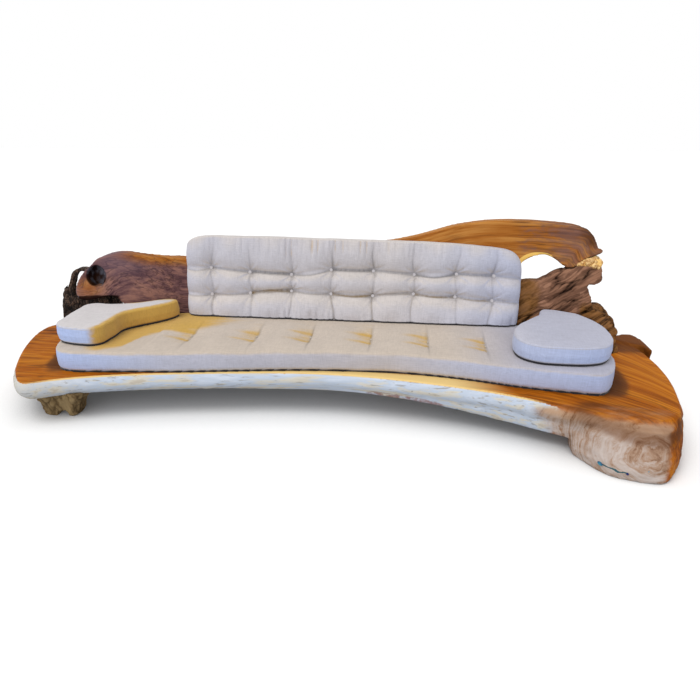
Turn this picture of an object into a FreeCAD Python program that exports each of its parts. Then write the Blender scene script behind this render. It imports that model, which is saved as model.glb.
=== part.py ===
"""A live-edge root bench with loose cushions, in millimetres.

A thick crescent slab with a root foot at its right front carries a leaning backrest plank, whose
right end is a branch that arches over an open eye and rests on a weathered root post. A bark stump
stands behind the plank's left end. Four loose foam cushions lie on the slab.
+X runs along the bench to the sitter's left, +Y to the back and +Z up. The origin is on the floor,
under the middle of the whole bench.
"""

import FreeCAD
import Part

import math
import os

V = FreeCAD.Vector
Z_UP = V(0, 0, 1)

# Slab
bench_length = 4220.0
deck_depth = 1400.0
deck_height = 265.0
slab_thickness = 118.0
edge_bulge = 24.0
under_inset = 18.0
widest_share = 0.58
underside = deck_height - slab_thickness

# Plan of the slab's top, counter-clockwise from the left tip, as shares of its length and depth.
deck_outline_shares = (
    (-0.511, 0.136),
    (-0.4915, -0.064),
    (-0.456, -0.273),
    (-0.418, -0.413),
    (-0.379, -0.381),
    (-0.280, -0.300),
    (-0.137, -0.235),
    (-0.043, -0.209),
    (0.028, -0.209),
    (0.100, -0.232),
    (0.166, -0.266),
    (0.230, -0.311),
    (0.287, -0.373),
    (0.351, -0.440),
    (0.407, -0.464),
    (0.436, -0.416),
    (0.452, -0.305),
    (0.466, -0.136),
    (0.471, 0.040),
    (0.467, 0.180),
    (0.464, 0.290),
    (0.443, 0.372),
    (0.284, 0.412),
    (0.071, 0.426),
    (-0.166, 0.412),
    (-0.355, 0.356),
    (-0.472, 0.296),
    (-0.505, 0.222),
)

# Pointed spur at the right rear corner, in plan, on the same shares. It stands a little above the deck.
spur_outline_shares = (
    (0.436, 0.330),
    (0.462, 0.372),
    (0.476, 0.366),
    (0.483, 0.305),
    (0.4845, 0.235),
    (0.482, 0.165),
    (0.476, 0.205),
    (0.466, 0.240),
)
spur_rise = 12.0
spur_drop = 62.0

# Lip under the front edge, which deepens towards the root foot: place along the bench, the slab's
# front edge there, and the lip's depth as a share of the height under the slab.
lip_shares = (
    (-0.180, -0.254, 0.03),
    (-0.100, -0.222, 0.06),
    (-0.043, -0.209, 0.06),
    (0.028, -0.209, 0.08),
    (0.100, -0.232, 0.15),
    (0.170, -0.268, 0.29),
    (0.237, -0.318, 0.46),
    (0.292, -0.377, 0.53),
    (0.330, -0.420, 0.57),
    (0.368, -0.444, 0.66),
)
lip_sink = 40.0
lip_front_round = 9.0
lip_bed = 42.0
lip_width = 170.0

# Root foot, one piece with the slab
root_width = 600.0
root_depth = 620.0
root_sink = 30.0
root_centre_shares = (0.389, -0.357)
root_outline_shares = (
    (-0.468, -0.190),
    (-0.392, -0.300),
    (-0.300, -0.413),
    (-0.188, -0.474),
    (-0.038, -0.511),
    (0.084, -0.524),
    (0.172, -0.498),
    (0.248, -0.422),
    (0.342, -0.300),
    (0.424, -0.120),
    (0.455, 0.129),
    (0.370, 0.371),
    (0.160, 0.484),
    (-0.133, 0.452),
    (-0.350, 0.274),
    (-0.464, 0.048),
)
# Height as a share of the underside's height, size as a share of the floor outline, and the shift of
# the outline along X and Y as shares of the root's width and depth.
root_level_shares = (
    (0.0, 1.0, 0.0, 0.0),
    (0.32, 1.040, 0.005, 0.020),
    (0.70, 1.068, 0.014, 0.074),
    (1.0, 1.060, 0.021, 0.115),
)
root_top_level_shares = (0.97, 0.022, 0.150)

# Separate feet: place under the slab on the slab's shares, with their own widths
foot_width = 336.0
foot_depth = 210.0
foot_bury = 18.0
foot_outline_shares = (
    (-0.50, -0.10),
    (-0.38, -0.42),
    (-0.10, -0.50),
    (0.16, -0.40),
    (0.40, -0.46),
    (0.50, -0.08),
    (0.42, 0.36),
    (0.10, 0.50),
    (-0.28, 0.44),
)
foot_level_shares = (
    (0.0, 0.66, -0.05),
    (0.14, 0.72, -0.05),
    (0.48, 0.80, -0.035),
    (0.80, 0.95, 0.0),
    (1.0, 1.0, 0.0),
)
front_left_foot_shares = (-0.3845, -0.306)
rear_left_foot_shares = (-0.400, 0.200)
rear_right_foot_shares = (0.385, 0.290)
toe_notch_width = 70.0
toe_notch_height = 26.0

# Hardwood pins that hold the feet to the slab
pin_radius = 15.0
pin_length = 110.0
pin_spread = 120.0

# Backrest plank
plank_thickness = 95.0
lean_degrees = 11.0
back_standoff = 6.0
back_height = 795.0
plank_face_y = 362.0
tip_slope_share = 0.6
straight_from_share = -0.264
straight_to_share = 0.45
# Front face in plan at deck height, left of the straight part, on the slab's shares.
plank_face_shares = (
    (-0.470, 0.068),
    (-0.433, 0.100),
    (-0.398, 0.120),
    (-0.362, 0.136),
    (-0.327, 0.172),
    (-0.294, 0.228),
)
# Elevation, as shares of the bench's length and of the height above the deck.
plank_tip_shares = (
    (-0.4320, 0.428),
    (-0.4335, 0.375),
    (-0.4310, 0.328),
    (-0.4220, 0.304),
)
plank_undercut_shares = (
    (-0.4220, 0.304),
    (-0.3980, 0.316),
    (-0.3730, 0.320),
    (-0.3620, 0.270),
    (-0.3560, 0.120),
    (-0.3480, 0.0),
)
plank_foot_share = 0.2725
eye_shares = (
    (0.2725, 0.470),
    (0.2745, 0.572),
    (0.2822, 0.644),
    (0.2938, 0.687),
    (0.3085, 0.711),
    (0.3206, 0.711),
    (0.3334, 0.682),
    (0.3434, 0.637),
    (0.3500, 0.610),
)
branch_end_shares = (
    (0.3500, 0.610),
    (0.3607, 0.613),
    (0.3706, 0.649),
    (0.3844, 0.698),
    (0.4010, 0.736),
    (0.4035, 0.752),
    (0.3965, 0.768),
)
plank_top_shares = (
    (0.3965, 0.768),
    (0.3935, 0.822),
    (0.3875, 0.882),
    (0.3745, 0.929),
    (0.3488, 0.956),
    (0.3110, 0.973),
    (0.2735, 0.977),
    (0.2280, 0.972),
    (0.1974, 0.953),
    (0.1670, 0.919),
    (0.1363, 0.868),
    (0.1130, 0.833),
    (0.0656, 0.786),
    (-0.0240, 0.720),
    (-0.1420, 0.652),
    (-0.2670, 0.610),
    (-0.3040, 0.634),
    (-0.3380, 0.672),
    (-0.3597, 0.692),
    (-0.3756, 0.685),
    (-0.3889, 0.666),
    (-0.4005, 0.636),
    (-0.4085, 0.592),
    (-0.4168, 0.554),
    (-0.4254, 0.499),
    (-0.4320, 0.428),
)

# Knot hole in the plank's left end, a blind recess
hole_centre_shares = (-0.400, 0.504)
hole_width = 104.0
hole_height = 144.0
hole_depth = 62.0
hole_face_share = 0.119

# Weathered root post under the branch's end. Its elevation is on the shares of the back; its levels
# give height above the deck, left, right, and how far its front stands before and its rear behind
# the plank's face, as shares of bench length and deck depth.
post_left_shares = (
    (0.2725, 0.0),
    (0.2725, 0.420),
    (0.2846, 0.4815),
    (0.2967, 0.489),
    (0.3118, 0.503),
    (0.3265, 0.541),
    (0.3412, 0.576),
    (0.3550, 0.604),
)
post_burl_shares = (
    (0.3550, 0.604),
    (0.3709, 0.645),
    (0.3848, 0.679),
    (0.3985, 0.680),
    (0.4035, 0.621),
    (0.4050, 0.535),
    (0.3995, 0.508),
    (0.3855, 0.494),
)
post_right_shares = (
    (0.3855, 0.494),
    (0.3835, 0.470),
    (0.3865, 0.430),
    (0.3895, 0.3500),
    (0.3975, 0.3040),
    (0.4145, 0.2850),
    (0.4235, 0.2400),
    (0.4275, 0.1700),
    (0.4285, 0.1000),
    (0.4320, 0.0),
)
post_level_shares = (
    (0.0, 0.2690, 0.4420, -0.130, 0.070),
    (0.22, 0.2690, 0.4440, -0.082, 0.080),
    (0.42, 0.2690, 0.4380, -0.044, 0.076),
    (0.72, 0.2690, 0.4300, -0.006, 0.058),
)
post_clearance = 4.0
post_outline_shares = (
    (-0.50, 0.30),
    (-0.49, -0.04),
    (-0.30, -0.14),
    (-0.06, -0.16),
    (0.12, -0.34),
    (0.30, -0.50),
    (0.44, -0.36),
    (0.50, 0.02),
    (0.43, 0.34),
    (0.18, 0.50),
    (-0.14, 0.44),
    (-0.38, 0.50),
)

# Bark stump behind the plank's left end, same scheme with its own places
stump_level_shares = (
    (0.0, -0.4860, -0.372, 0.205, 0.300),
    (0.13, -0.4840, -0.376, 0.208, 0.300),
    (0.26, -0.4805, -0.384, 0.214, 0.304),
    (0.352, -0.4740, -0.390, 0.222, 0.306),
)
stump_outline_shares = (
    (-0.50, 0.05),
    (-0.45, -0.36),
    (-0.18, -0.50),
    (0.12, -0.44),
    (0.40, -0.50),
    (0.50, -0.05),
    (0.42, 0.38),
    (0.16, 0.50),
    (-0.20, 0.42),
    (-0.44, 0.40),
)

# Curled strap of bark that springs from the stump's top to the plank's rear edge: outer and inner
# line in elevation, and its front and rear
strap_outer_shares = (
    (-0.4670, 0.330),
    (-0.4605, 0.385),
    (-0.4540, 0.450),
    (-0.4470, 0.520),
    (-0.4370, 0.548),
    (-0.4240, 0.552),
    (-0.4080, 0.530),
)
strap_inner_shares = (
    (-0.4080, 0.506),
    (-0.4240, 0.526),
    (-0.4355, 0.522),
    (-0.4445, 0.490),
    (-0.4500, 0.430),
    (-0.4545, 0.370),
    (-0.4520, 0.310),
)
strap_front_share = 0.207
strap_depth = 62.0

# Coach screws from under the slab, and their washers
screw_radius = 7.0
screw_length = 196.0
screw_head_radius = 12.0
screw_head_height = 9.0
washer_radius = 20.0
washer_thickness = 3.0
counterbore_radius = 24.0
counterbore_depth = 30.0
screw_fit = 0.3
screw_shares = (
    (-0.310, 0.244),
    (-0.150, 0.302),
    (0.0, 0.302),
    (0.130, 0.302),
    (0.245, 0.302),
    (0.305, 0.292),
    (0.362, 0.270),
    (-0.450, 0.238),
    (-0.400, 0.246),
)

# Wooden pin between the branch's end and the post
branch_pin_radius = 9.0
branch_pin_length = 104.0
branch_pin_shares = (0.3600, 0.545)

# Resin plugs in the cracks of the slab's front edge and of the root foot: the face's place in plan,
# height as a share of the deck's height, and radius
resin_depth = 45.0
resin_plugs = (
    ((0.3422, -0.490), 0.177, 9.0),
    ((0.3690, -0.556), 0.143, 6.0),
    ((0.1640, -0.262), 0.500, 5.0),
    ((0.1780, -0.272), 0.450, 4.0),
    ((0.3900, -0.572), 0.260, 4.0),
)

# Cushions
cushion_gap = 0.3
cover_wall = 6.0
filling_gap = 0.5
seat_thickness = 130.0
seat_crown = 10.0
seat_channel = 5.0
seat_tuft_depth = 17.0
side_bulge = 5.0
seam_rise = 14.0
seam_bend = 2.0
rim_bend = 4.0
seat_flat_share = 0.165
seat_tuft_share = 0.004
left_bed_share = -0.266
right_bed_share = 0.248
bed_skim = 0.1
# Place along the bench, front and rear on the slab's shares, then how full the top is: 1 between
# the sewn channels, 0 at a channel with its tuft, and None where it stays flat under an arm cushion.
seat_station_shares = (
    (-0.4085, -0.075, 0.060, None),
    (-0.4060, -0.130, 0.082, None),
    (-0.3990, -0.215, 0.096, None),
    (-0.3890, -0.276, 0.102, None),
    (-0.3740, -0.300, 0.108, None),
    (-0.3320, -0.300, 0.132, None),
    (-0.2950, -0.290, 0.204, None),
    (-0.2620, -0.281, 0.236, 1.0),
    (-0.2190, -0.267, 0.242, 0.0),
    (-0.1700, -0.247, 0.242, 1.0),
    (-0.1200, -0.225, 0.242, 0.0),
    (-0.0790, -0.208, 0.242, 1.0),
    (-0.0380, -0.194, 0.242, 0.0),
    (0.0070, -0.184, 0.242, 1.0),
    (0.0530, -0.179, 0.242, 0.0),
    (0.0950, -0.179, 0.242, 1.0),
    (0.1370, -0.190, 0.242, 0.0),
    (0.1790, -0.209, 0.242, 1.0),
    (0.2200, -0.235, 0.242, 0.0),
    (0.2520, -0.258, 0.236, None),
    (0.3000, -0.282, 0.218, None),
    (0.3400, -0.297, 0.190, None),
    (0.3600, -0.294, 0.160, None),
    (0.3730, -0.258, 0.120, None),
    (0.3840, -0.180, 0.070, None),
    (0.3880, -0.110, 0.020, None),
)

back_thickness = 136.0
back_front_bulge = 20.0
column_swell_share = 0.55
back_tuft_depth = 34.0
back_crease_depth = 17.0
back_cushion_height = 530.0
# Place along the bench, height share, thickness share, 1 between tufts or 0 at a column of tufts,
# then the heights of the lower and the upper row of tufts as shares of the cushion's height.
back_station_shares = (
    (-0.2560, 0.80, 0.55, 1.0, 0.260, 0.590),
    (-0.2530, 0.90, 0.80, 1.0, 0.258, 0.592),
    (-0.2440, 0.960, 0.94, 1.0, 0.256, 0.594),
    (-0.2300, 0.990, 1.0, 1.0, 0.254, 0.594),
    (-0.2130, 1.0, 1.0, 0.0, 0.253, 0.592),
    (-0.1810, 1.0, 1.0, 1.0, 0.264, 0.570),
    (-0.1490, 1.0, 1.0, 0.0, 0.281, 0.549),
    (-0.1150, 1.0, 1.0, 1.0, 0.302, 0.540),
    (-0.0810, 0.997, 1.0, 0.0, 0.321, 0.532),
    (-0.0490, 0.992, 1.0, 1.0, 0.312, 0.568),
    (-0.0170, 0.988, 1.0, 0.0, 0.300, 0.604),
    (0.0170, 0.986, 1.0, 1.0, 0.296, 0.606),
    (0.0500, 0.984, 1.0, 0.0, 0.292, 0.604),
    (0.0820, 0.982, 1.0, 1.0, 0.312, 0.588),
    (0.1140, 0.978, 1.0, 0.0, 0.332, 0.572),
    (0.1470, 0.972, 1.0, 1.0, 0.322, 0.582),
    (0.1790, 0.962, 1.0, 0.0, 0.311, 0.592),
    (0.2080, 0.948, 1.0, 1.0, 0.294, 0.588),
    (0.2360, 0.925, 1.0, 0.0, 0.277, 0.583),
    (0.2540, 0.905, 0.98, 1.0, 0.270, 0.576),
    (0.2680, 0.850, 0.90, 1.0, 0.266, 0.566),
    (0.2760, 0.760, 0.74, 1.0, 0.264, 0.540),
    (0.2790, 0.660, 0.55, 1.0, 0.262, 0.500),
)

button_radius = 10.0
button_thickness = 7.0
rear_button_thickness = 2.5
twine_radius = 1.2
knot_radius = 5.0
knot_rise = 2.5
tie_disc_radius = 8.0
tie_disc_thickness = 2.0

arm_thickness = 115.0
arm_seam_inset = 5.0
arm_crown_share = 0.76
arm_crown_rise = 6.0
left_arm_shares = (
    (-0.3985, -0.196),
    (-0.3680, -0.236),
    (-0.3340, -0.226),
    (-0.3255, -0.136),
    (-0.3240, -0.048),
    (-0.3110, 0.004),
    (-0.2850, 0.076),
    (-0.2690, 0.146),
    (-0.2700, 0.188),
    (-0.2900, 0.194),
    (-0.3250, 0.130),
    (-0.3620, 0.094),
    (-0.4000, 0.088),
    (-0.4065, 0.000),
    (-0.4050, -0.100),
)
right_arm_shares = (
    (0.2530, -0.112),
    (0.2590, -0.184),
    (0.2800, -0.229),
    (0.3120, -0.239),
    (0.3450, -0.232),
    (0.3690, -0.196),
    (0.3835, -0.110),
    (0.3835, 0.035),
    (0.3650, 0.160),
    (0.3470, 0.198),
    (0.3190, 0.224),
    (0.3100, 0.204),
    (0.3060, 0.154),
    (0.2860, 0.082),
    (0.2620, -0.012),
)

overrun = 40.0
hair = 1e-4


def place(shares):
    """A plan point given as shares of the slab's length and depth."""
    return shares[0] * bench_length, shares[1] * deck_depth


def shifted(points, distance):
    """Moves the points of a counter-clockwise loop outwards by a distance."""
    moved = []
    for i, (x, y) in enumerate(points):
        ax, ay = points[i - 1]
        bx, by = points[(i + 1) % len(points)]
        tx, ty = bx - ax, by - ay
        size = math.hypot(tx, ty)
        moved.append((x + distance * ty / size, y - distance * tx / size))
    return moved


def spline_loop(points, height):
    """A closed smooth wire through plan points at one height, on evenly spaced parameters."""
    curve = Part.BSplineCurve()
    knots = [float(i) for i in range(len(points) + 1)]
    curve.interpolate(Points=[V(x, y, height) for x, y in points], Parameters=knots, PeriodicFlag=True)
    return Part.Wire([curve.toShape()])


def level_solid(levels):
    """A smooth solid through closed outlines, each given as its points and its height."""
    return Part.makeLoft([spline_loop(points, height) for points, height in levels], True, False)


def scaled_outline(shares, centre, width, depth):
    """An outline of shares, at real size about a centre."""
    return [(centre[0] + sx * width, centre[1] + sy * depth) for sx, sy in shares]


def bent_edge(start, end, rise, outwards):
    """A straight edge, or an arc whose middle stands off the chord by the rise."""
    if rise == 0:
        return Part.LineSegment(start, end).toShape()
    middle = (start + end) * 0.5 + outwards * rise
    return Part.Arc(start, middle, end).toShape()


def section_wire(corners, rises):
    """A closed wire in a plane of constant X: corners are (y, z), clockwise seen from the left end,
    and each rise bends the edge that leaves its corner outwards."""
    points = [V(x, y, z) for x, y, z in corners]
    edges = []
    for i, rise in enumerate(rises):
        start, end = points[i], points[(i + 1) % len(points)]
        along = (end - start).normalize()
        edges.append(bent_edge(start, end, rise, along.cross(V(1, 0, 0))))
    return Part.Wire(edges)


def arc_pair(start, leaving, end, arriving):
    """Two arcs that meet smoothly, from one point and direction to another."""
    span = end - start
    both = leaving + arriving
    spread = 2 * (1 - leaving.dot(arriving))
    if spread < 1e-9:
        reach = span.dot(span) / (4 * span.dot(arriving))
    else:
        forward = span.dot(both)
        reach = (math.sqrt(forward * forward + spread * span.dot(span)) - forward) / spread
    joint = (start + end + (leaving - arriving) * reach) * 0.5
    first = Part.Arc(start, arc_middle(start, leaving, joint), joint).toShape()
    second = Part.Arc(joint, arc_middle(end, arriving * -1, joint), end).toShape()
    return [first, second]


def arc_middle(start, leaving, end):
    """The middle of the arc that leaves a point in a direction and ends at another. A nearly
    straight one keeps a hair of bend."""
    chord = end - start
    cosine = max(-1.0, min(1.0, leaving.dot(chord) / chord.Length))
    sagitta = chord.Length / 2 * math.tan(math.acos(cosine) / 2)
    side = leaving - chord * (leaving.dot(chord) / chord.dot(chord))
    if side.Length < hair or sagitta < hair * chord.Length:
        side = V(-chord.y, chord.x, 0)
        sagitta = hair * chord.Length
    return (start + end) * 0.5 + side.normalize() * sagitta


def arc_loop(points, height):
    """A closed smooth wire of arcs through plan points at one height."""
    spots = [V(x, y, height) for x, y in points]
    count = len(spots)
    ways = [(spots[(i + 1) % count] - spots[i - 1]).normalize() for i in range(count)]
    edges = []
    for i in range(count):
        edges += arc_pair(spots[i], ways[i], spots[(i + 1) % count], ways[(i + 1) % count])
    return Part.Wire(edges)


def largest(shape):
    """The main solid of a scribed piece, without the crumbs that the scribing leaves."""
    return max(shape.Solids, key=lambda solid: solid.Volume)


def upright(x, y, low, high, radius):
    """A vertical cylinder between two heights."""
    return Part.makeCylinder(radius, high - low, V(x, y, low), Z_UP)


def make_slab():
    """The slab with its spur, front lip and root foot, as one piece of wood."""
    deck = [place(s) for s in deck_outline_shares]
    widest = underside + slab_thickness * widest_share
    body = level_solid(
        [
            (shifted(deck, -under_inset), underside),
            (shifted(deck, edge_bulge), widest),
            (deck, deck_height),
        ]
    )
    spur = [place(s) for s in spur_outline_shares]
    spur_solid = level_solid([(spur, deck_height - spur_drop), (spur, deck_height + spur_rise)])
    lip_solid = make_lip()
    root_solid = make_root_foot()
    slab = body.fuse([spur_solid, lip_solid, root_solid])
    above_deck = Part.makeBox(
        bench_length * 2, deck_depth * 2, overrun, V(-bench_length, -deck_depth, deck_height + spur_rise)
    )
    return slab.cut(above_deck)


def make_lip():
    """The lip under the slab's front edge, from nothing at mid length to the root foot."""
    sections = []
    for along, front, depth in lip_shares:
        x, y = place((along, front))
        top = underside + lip_sink
        low = underside * (1 - depth)
        corners = [
            (x, y, top),
            (x, y + under_inset / 2, low + lip_front_round),
            (x, y + under_inset / 2 + lip_bed, low),
            (x, y + lip_width, top),
        ]
        sections.append(section_wire(corners, (lip_front_round, 0, 0, 0)))
    return Part.makeLoft(sections, True, False)


def make_root_foot():
    """The massive root foot at the right front, from the floor up into the slab."""
    centre = place(root_centre_shares)
    levels = []
    for height, size, shift_x, shift_y in root_level_shares:
        middle = (centre[0] + shift_x * root_width, centre[1] + shift_y * root_depth)
        outline = scaled_outline(root_outline_shares, middle, size * root_width, size * root_depth)
        levels.append((outline, height * underside))
    size, shift_x, shift_y = root_top_level_shares
    middle = (centre[0] + shift_x * root_width, centre[1] + shift_y * root_depth)
    outline = scaled_outline(root_outline_shares, middle, size * root_width, size * root_depth)
    levels.append((outline, deck_height - root_sink))
    return level_solid(levels)


def make_foot(centre_shares, slab, turn):
    """A gnarled root foot under the slab, scribed to the slab's underside, with two toes."""
    centre = place(centre_shares)
    levels = []
    for height, size, shift_x in foot_level_shares:
        middle = (centre[0] + turn * shift_x * foot_width, centre[1])
        width, depth = turn * size * foot_width, turn * size * foot_depth
        outline = scaled_outline(foot_outline_shares, middle, width, depth)
        levels.append((outline, height * (underside + foot_bury)))
    foot = level_solid(levels)
    notch = Part.makeCylinder(1, foot_depth * 2, V(0, -foot_depth, 0), V(0, 1, 0))
    notch = notch.transformGeometry(stretch(toe_notch_width / 2, 1, toe_notch_height))
    notch.translate(V(centre[0] + turn * toe_notch_width / 6, centre[1], 0))
    return foot.cut(notch).cut(slab)


def stretch(x, y, z):
    """A matrix that scales along the three axes."""
    matrix = FreeCAD.Matrix()
    matrix.scale(x, y, z)
    return matrix


def plank_band():
    """The upright band that the plank fills in plan, extruded along its lean."""
    face = [V(*place(s), 0) for s in plank_face_shares]
    straight_start = V(straight_from_share * bench_length, plank_face_y, 0)
    straight_end = V(straight_to_share * bench_length, plank_face_y, 0)
    front = Part.BSplineCurve()
    tip_way = V(1, tip_slope_share, 0)
    front.interpolate(Points=[*face, straight_start], InitialTangent=tip_way, FinalTangent=V(1, 0, 0))
    rear = Part.BSplineCurve()
    behind = [p + V(0, plank_thickness, 0) for p in [*face, straight_start]]
    rear.interpolate(Points=behind, InitialTangent=tip_way, FinalTangent=V(1, 0, 0))
    thick = V(0, plank_thickness, 0)
    wire = Part.Wire(
        [
            front.toShape(),
            Part.LineSegment(straight_start, straight_end).toShape(),
            Part.LineSegment(straight_end, straight_end + thick).toShape(),
            Part.LineSegment(straight_end + thick, straight_start + thick).toShape(),
            rear.toShape(),
            Part.LineSegment(face[0] + thick, face[0]).toShape(),
        ]
    )
    reach = back_height + overrun
    leaning = V(0, reach * math.tan(math.radians(lean_degrees)), reach)
    band = Part.Face(wire).extrude(leaning)
    band.translate(V(0, 0, deck_height))
    return band


def raised(shares):
    """A point of the plank's elevation, as shares of the bench's length and of the back's height."""
    return V(shares[0] * bench_length, 0, deck_height + shares[1] * back_height)


def spline_edge(table):
    """A smooth edge through elevation points."""
    curve = Part.BSplineCurve()
    curve.interpolate(Points=[raised(s) for s in table])
    return curve.toShape()


def make_plank():
    """The backrest: plank, rising branch and the arch over the eye, with the blind knot hole."""
    undercut_end = plank_undercut_shares[-1]
    wire = Part.Wire(
        [
            spline_edge(plank_tip_shares),
            spline_edge(plank_undercut_shares),
            Part.LineSegment(raised(undercut_end), raised((plank_foot_share, 0))).toShape(),
            Part.LineSegment(raised((plank_foot_share, 0)), raised(eye_shares[0])).toShape(),
            spline_edge(eye_shares),
            spline_edge(branch_end_shares),
            spline_edge(plank_top_shares),
        ]
    )
    elevation = Part.Face(wire).extrude(V(0, deck_depth, 0))
    plank = plank_band().common(elevation)
    middle = raised(hole_centre_shares)
    hole = Part.makeCylinder(1, hole_depth + overrun, V(0, 0, 0), V(0, 1, 0))
    hole = hole.transformGeometry(stretch(hole_width / 2, 1, hole_height / 2))
    hole.translate(V(middle.x, hole_face_share * deck_depth + lean_at(middle.z) - overrun, middle.z))
    return plank.cut(hole)


def lean_at(height):
    """How far the leaning plank has moved back at a height."""
    return (height - deck_height) * math.tan(math.radians(lean_degrees))


def make_post(plank):
    """The root post: its rough plan levels within its elevation, scribed to the plank."""
    wire = Part.Wire(
        [
            spline_edge(post_left_shares[:2]),
            spline_edge(post_left_shares[1:]),
            spline_edge(post_burl_shares),
            spline_edge(post_right_shares),
            Part.LineSegment(raised(post_right_shares[-1]), raised(post_left_shares[0])).toShape(),
        ]
    )
    elevation = Part.Face(wire).extrude(V(0, deck_depth, 0))
    levels = grown_solid(post_level_shares, post_outline_shares, True)
    return largest(levels.common(elevation).cut([plank, seat_path(), back_path()]))


def seat_path():
    """The room that the seat cushion takes as it is lifted, with some clearance round it."""
    seat = make_seat(-post_clearance)
    outline = seat.slice(Z_UP, deck_height + seat_thickness / 2)[0]
    room = Part.Face(outline).extrude(V(0, 0, back_height))
    room.translate(V(0, 0, -seat_thickness))
    return room


def back_path():
    """The room beside the back cushion, up to some clearance past its right end."""
    right = back_station_shares[-1][0] * bench_length + post_clearance
    return Part.makeBox(right, 2 * deck_depth, back_height, V(0, -deck_depth, deck_height + bed_skim))


def make_stump(plank):
    """The bark stump with its curled strap of bark, scribed to the plank."""
    outer = strap_outer_shares
    inner = strap_inner_shares
    wire = Part.Wire(
        [
            spline_edge(outer),
            Part.LineSegment(raised(outer[-1]), raised(inner[0])).toShape(),
            spline_edge(inner),
            Part.LineSegment(raised(inner[-1]), raised(outer[0])).toShape(),
        ]
    )
    strap = Part.Face(wire).extrude(V(0, strap_depth, 0))
    strap.translate(V(0, strap_front_share * deck_depth, 0))
    return largest(grown_solid(stump_level_shares, stump_outline_shares, False).fuse(strap).cut(plank))


def grown_solid(level_shares, outline_shares, follows_plank):
    """A standing piece of rough wood through levels of one outline, on the slab's deck."""
    levels = []
    for rise, left, right, front, rear in level_shares:
        height = deck_height + rise * back_height
        base = plank_face_y if follows_plank else 0
        shift = lean_at(height) if follows_plank else 0
        width = (right - left) * bench_length
        depth = (rear - front) * deck_depth
        centre = ((left + right) / 2 * bench_length, base + shift + (front + rear) / 2 * deck_depth)
        levels.append((scaled_outline(outline_shares, centre, width, depth), height))
    return level_solid(levels)


def seat_sections(inset):
    """The seat cushion's cross-sections, pulled in by an inset for what lies inside the cover."""
    low = deck_height + cushion_gap + inset
    high = deck_height + cushion_gap + seat_thickness - inset
    sections = []
    first, last = seat_station_shares[0][0], seat_station_shares[-1][0]
    span = (last - first) * bench_length
    shrink = (span - 2 * inset) / span
    middle = (first + last) / 2 * bench_length
    for along, front, rear, full in seat_station_shares:
        x = middle + (along * bench_length - middle) * shrink
        y_front = front * deck_depth + inset
        y_rear = rear * deck_depth - inset
        y_flat = min(seat_flat_share * deck_depth, y_rear - 4 * side_bulge)
        y_tuft = min(seat_tuft_share * deck_depth, (y_front + y_flat) / 2)
        crown = 0 if full is None else seat_crown * full
        channel = 0 if full is None else seat_channel * (1 - full)
        dip = 0 if full is None else seat_tuft_depth * (1 - full)
        tuft_height = high + crown - dip
        corners = [
            (x, y_front, high - seam_rise),
            (x, y_front, low),
            (x, y_rear, low),
            (x, y_rear, high - seam_rise),
            (x, y_rear - seam_rise, high),
            (x, y_flat, high),
            (x, y_tuft, tuft_height),
            (x, y_front + seam_rise, high - channel),
        ]
        swell = 0 if full is None else seat_crown / 2
        rises = (side_bulge, 0, side_bulge, seam_bend, 0, swell, swell, seam_bend)
        sections.append(section_wire(corners, rises))
    return sections


def make_seat(inset):
    """The seat cushion's solid for an inset, planed flat where the arm cushions lie."""
    low = deck_height + cushion_gap + seat_thickness - inset + bed_skim
    left = Part.makeBox(bench_length, deck_depth * 2, overrun, V(0, -deck_depth, low))
    right = left.copy()
    left.translate(V((left_bed_share - 1) * bench_length, 0, 0))
    right.translate(V(right_bed_share * bench_length, 0, 0))
    return Part.makeLoft(seat_sections(inset), True, False).cut([left, right])


def back_sections(inset):
    """The back cushion's cross-sections, standing upright with its rear face at y = 0."""
    sections = []
    first, last = back_station_shares[0][0], back_station_shares[-1][0]
    span = (last - first) * bench_length
    shrink = (span - 2 * inset) / span
    middle = (first + last) / 2 * bench_length
    for along, tall, thick, full, lower, upper in back_station_shares:
        x = middle + (along * bench_length - middle) * shrink
        top = back_cushion_height * tall - inset
        front = -(back_thickness * thick - inset)
        dip = back_tuft_depth * (1 - full) + back_crease_depth * full
        dip *= thick
        swell = back_front_bulge * thick * (column_swell_share + (1 - column_swell_share) * full)
        slope = math.tan(math.radians(lean_degrees))
        corners = [
            (x, -inset, inset - inset * slope),
            (x, -inset, top - seam_rise),
            (x, -inset - seam_rise, top),
            (x, front + seam_rise, top - seam_rise / 2),
            (x, front + dip, upper * back_cushion_height),
            (x, front + dip, lower * back_cushion_height),
            (x, front + seam_rise / 2, inset + seam_rise + front * slope),
            (x, front + seam_rise, inset + (front + seam_rise) * slope),
        ]
        sections.append(section_wire(corners, (0, seam_bend, rim_bend, swell, swell, swell, rim_bend, 0)))
    return sections


def lean_back(shape):
    """Leans an upright back-cushion piece onto the plank and seats it on the seat cushion."""
    shape.rotate(V(0, 0, 0), V(1, 0, 0), -lean_degrees)
    foot = deck_height + seat_thickness + 2 * cushion_gap
    rear = plank_face_y + lean_at(foot) - back_standoff / math.cos(math.radians(lean_degrees))
    shape.translate(V(0, rear, foot))
    return shape


def make_back(inset):
    """The back cushion's solid for an inset, in place."""
    return lean_back(Part.makeLoft(back_sections(inset), True, False))


def back_tufts():
    """Places along the bench and heights up the cushion of the back cushion's tufts."""
    spots = []
    for along, tall, thick, full, lower, upper in back_station_shares:
        if full == 0.0:
            spots += [(along * bench_length, row * back_cushion_height) for row in (lower, upper)]
    return spots


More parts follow.
